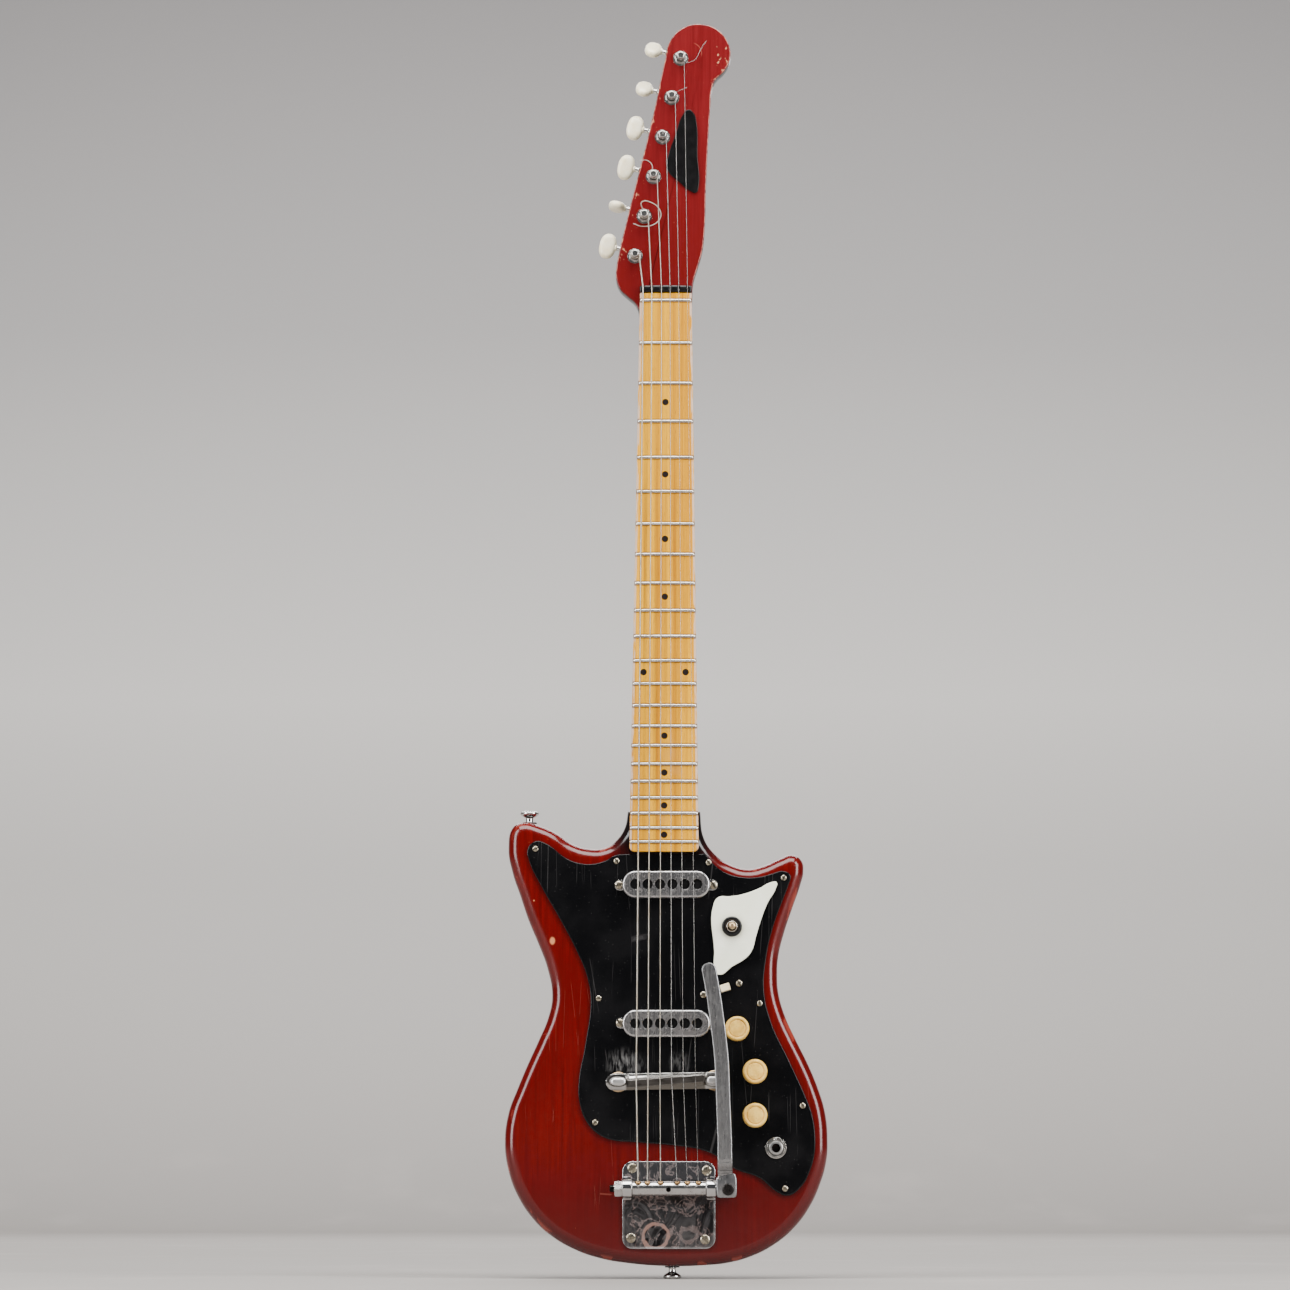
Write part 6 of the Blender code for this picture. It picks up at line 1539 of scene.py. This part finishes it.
def build_tuner_plate():
    """One strip behind the posts, with a rounded ear each side of every worm."""
    base = np.array((*TUNER_LAST, 0.0))
    length = math.dist(TUNER_FIRST, TUNER_LAST)
    pitch = length / 5
    outline = stadium(178.55, 15.5, 1.8, 5) + np.array((83.275, 0.25))
    strip = slab(outline, -12.0, -10.8, 0.2, 0.35, 3)
    arc = np.linspace(math.pi, math.tau, 15)
    edge = np.column_stack((3.0 * np.cos(arc), WORM_HEIGHT + 3.0 * np.sin(arc)))
    ear_outline = np.vstack((edge, ((3.0, -11.2), (-3.0, -11.2))))
    bore = lathe(((0, -9), (1.9, -9), (1.9, 9), (0, 9)), 24)
    holes, ears, spots = [], [], []
    for index in range(6):
        holes.append(moved(lathe(((0, -14), (3.6, -14), (3.6, -9), (0, -9)), 28), (pitch * index, 0, 0)))
        worm = pitch * index + WORM_OFFSET
        for side in (-1, 1):
            ear = slab(ear_outline, side * 5.2 - 0.6, side * 5.2 + 0.6, 0.2, 0.2, 2)
            cut = framed(bore, (worm, 0, WORM_HEIGHT), ALONG_Z)
            ears.append(carved(framed(ear, (worm, 0, 0), ALONG_Z), cut))
        if index:
            spots.append((pitch * (index - 0.5) + 1.0, 0.0))
    spots += [(-3.6, 0.0), (length + 9.6, 0.0)]
    strip = carved(strip, *holes)
    strip = carved(strip, *ears, operation="UNION")
    add_piece(
        "tuner_strip", moved(strip, base, ROW_TURN), NICKEL, replaces=["tuner_plate"], angle=30
    )
    head = slotted_head(2.0, 1.1)
    backs = []
    for index, (along, across) in enumerate(spots):
        points, faces = moved(head, turn=index * 0.9)
        backs.append((points * np.array((1, -1, -1)) + np.array((along, across, -12.0)), faces))
    add_piece(
        "tuner_strip_screws", moved(merge(*backs), base, ROW_TURN), SCREW_METAL, angle=35
    )


# ---------------------------------------------------------------- back and edges


def build_back():
    """The neck plate, and four screws with a threaded shank: r = 1.85 + 0.22 cos(2 pi z / 1.6)."""
    centre, plate_z = board_centre(336.5), 336.5
    plate = moved(slab(stadium(50, 30, 5, 8), -37.8, -36.3, 0.2, 0.7, 4), (centre, plate_z, 0))
    spots = [(centre + x * 18.0, plate_z + z * 8.5) for x in (-1, 1) for z in (-1, 1)]
    plate = carved(plate, *(post(x, z, -40, -35, 2.5) for x, z in spots))
    add_piece("joint_plate", plate, PLATE_CHROME, replaces=["neck_plate"], angle=30)
    head = slotted_head(4.2, 1.5, 0.15, 0.6)
    shank_end = -3.95
    along = np.linspace(-35.9, shank_end - 3, 160)
    thread = np.column_stack((1.85 + 0.22 * np.cos(along * math.tau / 1.6), along))
    top, tip = ((0, -38.1), (2.1, -38.1), (2.1, -36.0)), ((0.4, shank_end), (0, shank_end))
    shank = lathe(np.vstack((top, thread, tip)), 24)
    for number, (x, z) in enumerate(spots, 1):
        points, faces = moved(head, turn=0.5 + number * 1.3)
        flipped = points * np.array((1, -1, -1)) + np.array((0, 0, -38.1)), faces
        screw = carved(flipped, shank, operation="UNION")
        add_piece(
            f"joint_screw_{number}", moved(screw, (x, z, 0)), PLATE_CHROME, replaces=[f"neck_screw_{number}"],
            angle=35,
        )


def build_strap_buttons():
    """The CAD button's profile with rounder edges, a waisted stem and a slotted screw head."""
    corners = (
        (0, 9.0), (3.4, 9.0), (3.6, 9.2), (5.6, 9.2), (7.0, 8.2), (7.0, 6.8), (5.2, 5.4), (2.8, 4.2),
        (2.7, 1.2), (3.6, 0.3), (3.6, 0.0), (1.55, 0.0), (1.55, -12.0), (0, -12.0),
    )
    shape = carved(lathe(soften(corners, 0.6), 56), block((-2.9, 2.9), (-0.45, 0.45), (8.3, 10)))
    for name, x, z, side in (("lower", 4.5, 9.2, -1), ("upper", -104.0, 343.4, 1)):
        axes = ((1, 0, 0), OUTWARD, (0, side, 0))
        peg = framed(shape, (x, z, -18.0), axes)
        add_piece(f"strap_peg_{name}", peg, PLATE_CHROME, replaces=[f"strap_button_{name}"])
        felt = ring_body(soften(((3.8, -0.25), (5.6, -0.25), (5.6, 0.75), (3.8, 0.75), (3.8, 0.0)), 0.2), 40)
        add_piece(
            f"strap_felt_{name}", framed(felt, (x, z, -18.0), axes), BLACK, angle=40
        )


# ---------------------------------------------------------------- stage


def backdrop_finish():
    """Warm grey paper with painted light: lighter in the middle and darker towards the top and the floor."""
    f = Finish("backdrop_paper")
    # painted light: the paper's brightness falls off towards the floor and the top
    tone = (f.z / 2900.0).ramp(
        (0.0, (0.30, 0.28, 0.265)), (0.10, (0.36, 0.34, 0.325)), (0.35, (0.50, 0.483, 0.465)),
        (0.60, (0.27, 0.26, 0.255)), (0.85, (0.150, 0.143, 0.141)),
    )
    tone = tone.mixed(
        (0.42, 0.385, 0.365), f.noise(0.006, 4.0).above(0.5, 0.75) * f.z.above(260.0, 60.0) * 0.25
    )
    return f.done(Base_Color=tone, Roughness=f.noise(0.05, 2.0) * 0.1 + 0.75, Specular_IOR_Level=0.2)


def build_stage():
    """The floor runs back 4.2 m, then up a quarter circle of 700 mm into the wall, and on above."""
    angle = np.linspace(0, math.pi / 2, 24)
    depth = np.concatenate((np.linspace(-6000, 4200, 22), 4200 + 700 * np.sin(angle), np.full(10, 4900.0)))
    rise = np.concatenate((np.zeros(22), 700 - 700 * np.cos(angle), np.linspace(900, 6200, 10)))
    width = np.linspace(-7000, 7000, 12)
    spread = np.zeros((len(depth), len(width)))
    rows = np.stack((width + spread, rise[:, None] + spread, FACE_Y - depth[:, None] + spread), -1)
    points, faces = skin(rows, ring=False, caps=False)
    mesh = bpy.data.meshes.new("paper_sweep")
    mesh.from_pydata(world(points).tolist(), [], faces)
    mesh.materials.append(backdrop_finish())
    mesh.shade_smooth()
    sweep = bpy.data.objects.new("paper_sweep", mesh)
    bpy.context.scene.collection.objects.link(sweep)


def softbox(name, place, target, size, power, tint=(1.0, 1.0, 1.0)):
    """A rectangular light at a place in metres, turned to its target."""
    light = bpy.data.lights.new(name, "AREA")
    light.shape = "RECTANGLE"
    light.size, light.size_y = size
    light.energy = power
    light.color = tint
    lamp = bpy.data.objects.new(name, light)
    bpy.context.scene.collection.objects.link(lamp)
    lamp.location = place
    to_target = np.array(target) - np.array(place)
    lamp.rotation_euler = Vector(to_target).to_track_quat("-Z", "Y").to_euler()


def build_lights():
    """One light above, one each side, one on the wall, one behind, and a faint even sky."""
    softbox("top_box", (0.0, -1.0, 2.6), (0.0, 0.0, 0.5), (2.4, 1.6), 150.0, (1.0, 0.99, 0.97))
    softbox("left_box", (-2.1, -1.5, 1.1), (0.0, 0.0, 0.45), (1.0, 2.2), 84.0)
    softbox("right_box", (2.1, -1.5, 1.1), (0.0, 0.0, 0.45), (1.0, 2.2), 98.0)
    softbox("wall_box", (0.0, 2.4, 3.6), (0.0, 4.9, 0.9), (5.0, 1.0), 290.0)
    softbox("back_box", (0.0, 3.0, 2.2), (0.0, 0.0, 0.5), (2.4, 1.2), 45.0)
    world_light = bpy.data.worlds.new("studio")
    bpy.context.scene.world = world_light
    world_light.use_nodes = True
    tree = world_light.node_tree
    tree.nodes["Background"].inputs["Color"].default_value = (0.92, 0.95, 1.0, 1.0)
    tree.nodes["Background"].inputs["Strength"].default_value = 0.11


def build_camera():
    """3.2 m from the guitar, a little below its middle and looking up by 7.5 degrees."""
    tilt = math.radians(7.5)
    lens = bpy.data.cameras.new("camera")
    lens.lens, lens.sensor_width = 117.07, 36.0
    camera = bpy.data.objects.new("camera", lens)
    bpy.context.scene.collection.objects.link(camera)
    target = np.array((-0.016, FACE_Y * MM, 0.4785))
    camera.location = target + 3.2 * np.array((0, -math.cos(tilt), -math.sin(tilt)))
    camera.rotation_euler = (math.pi / 2 + tilt, 0, 0)
    bpy.context.scene.camera = camera


build_stage()
build_lights()
build_camera()
build_body()
build_neck()
build_board()
build_frets()
build_string_guide()
build_badge()
build_guard()
build_pickups()
build_knobs()
build_slide_switch()
build_toggle()
build_jack()
build_bridge()
build_vibrato_plate()
build_vibrato_bar()
build_hub()
build_arm()
for string in range(6):
    build_string(string)
    build_winding(string)
collars = [build_tuner(number) for number in range(1, 7)]
add_piece("tuner_collars", merge(*collars), NICKEL, angle=30)
for number in range(1, 7):
    build_button(number)
build_tuner_plate()
build_back()
build_strap_buttons()
paint_node("truss_rod", STEEL)
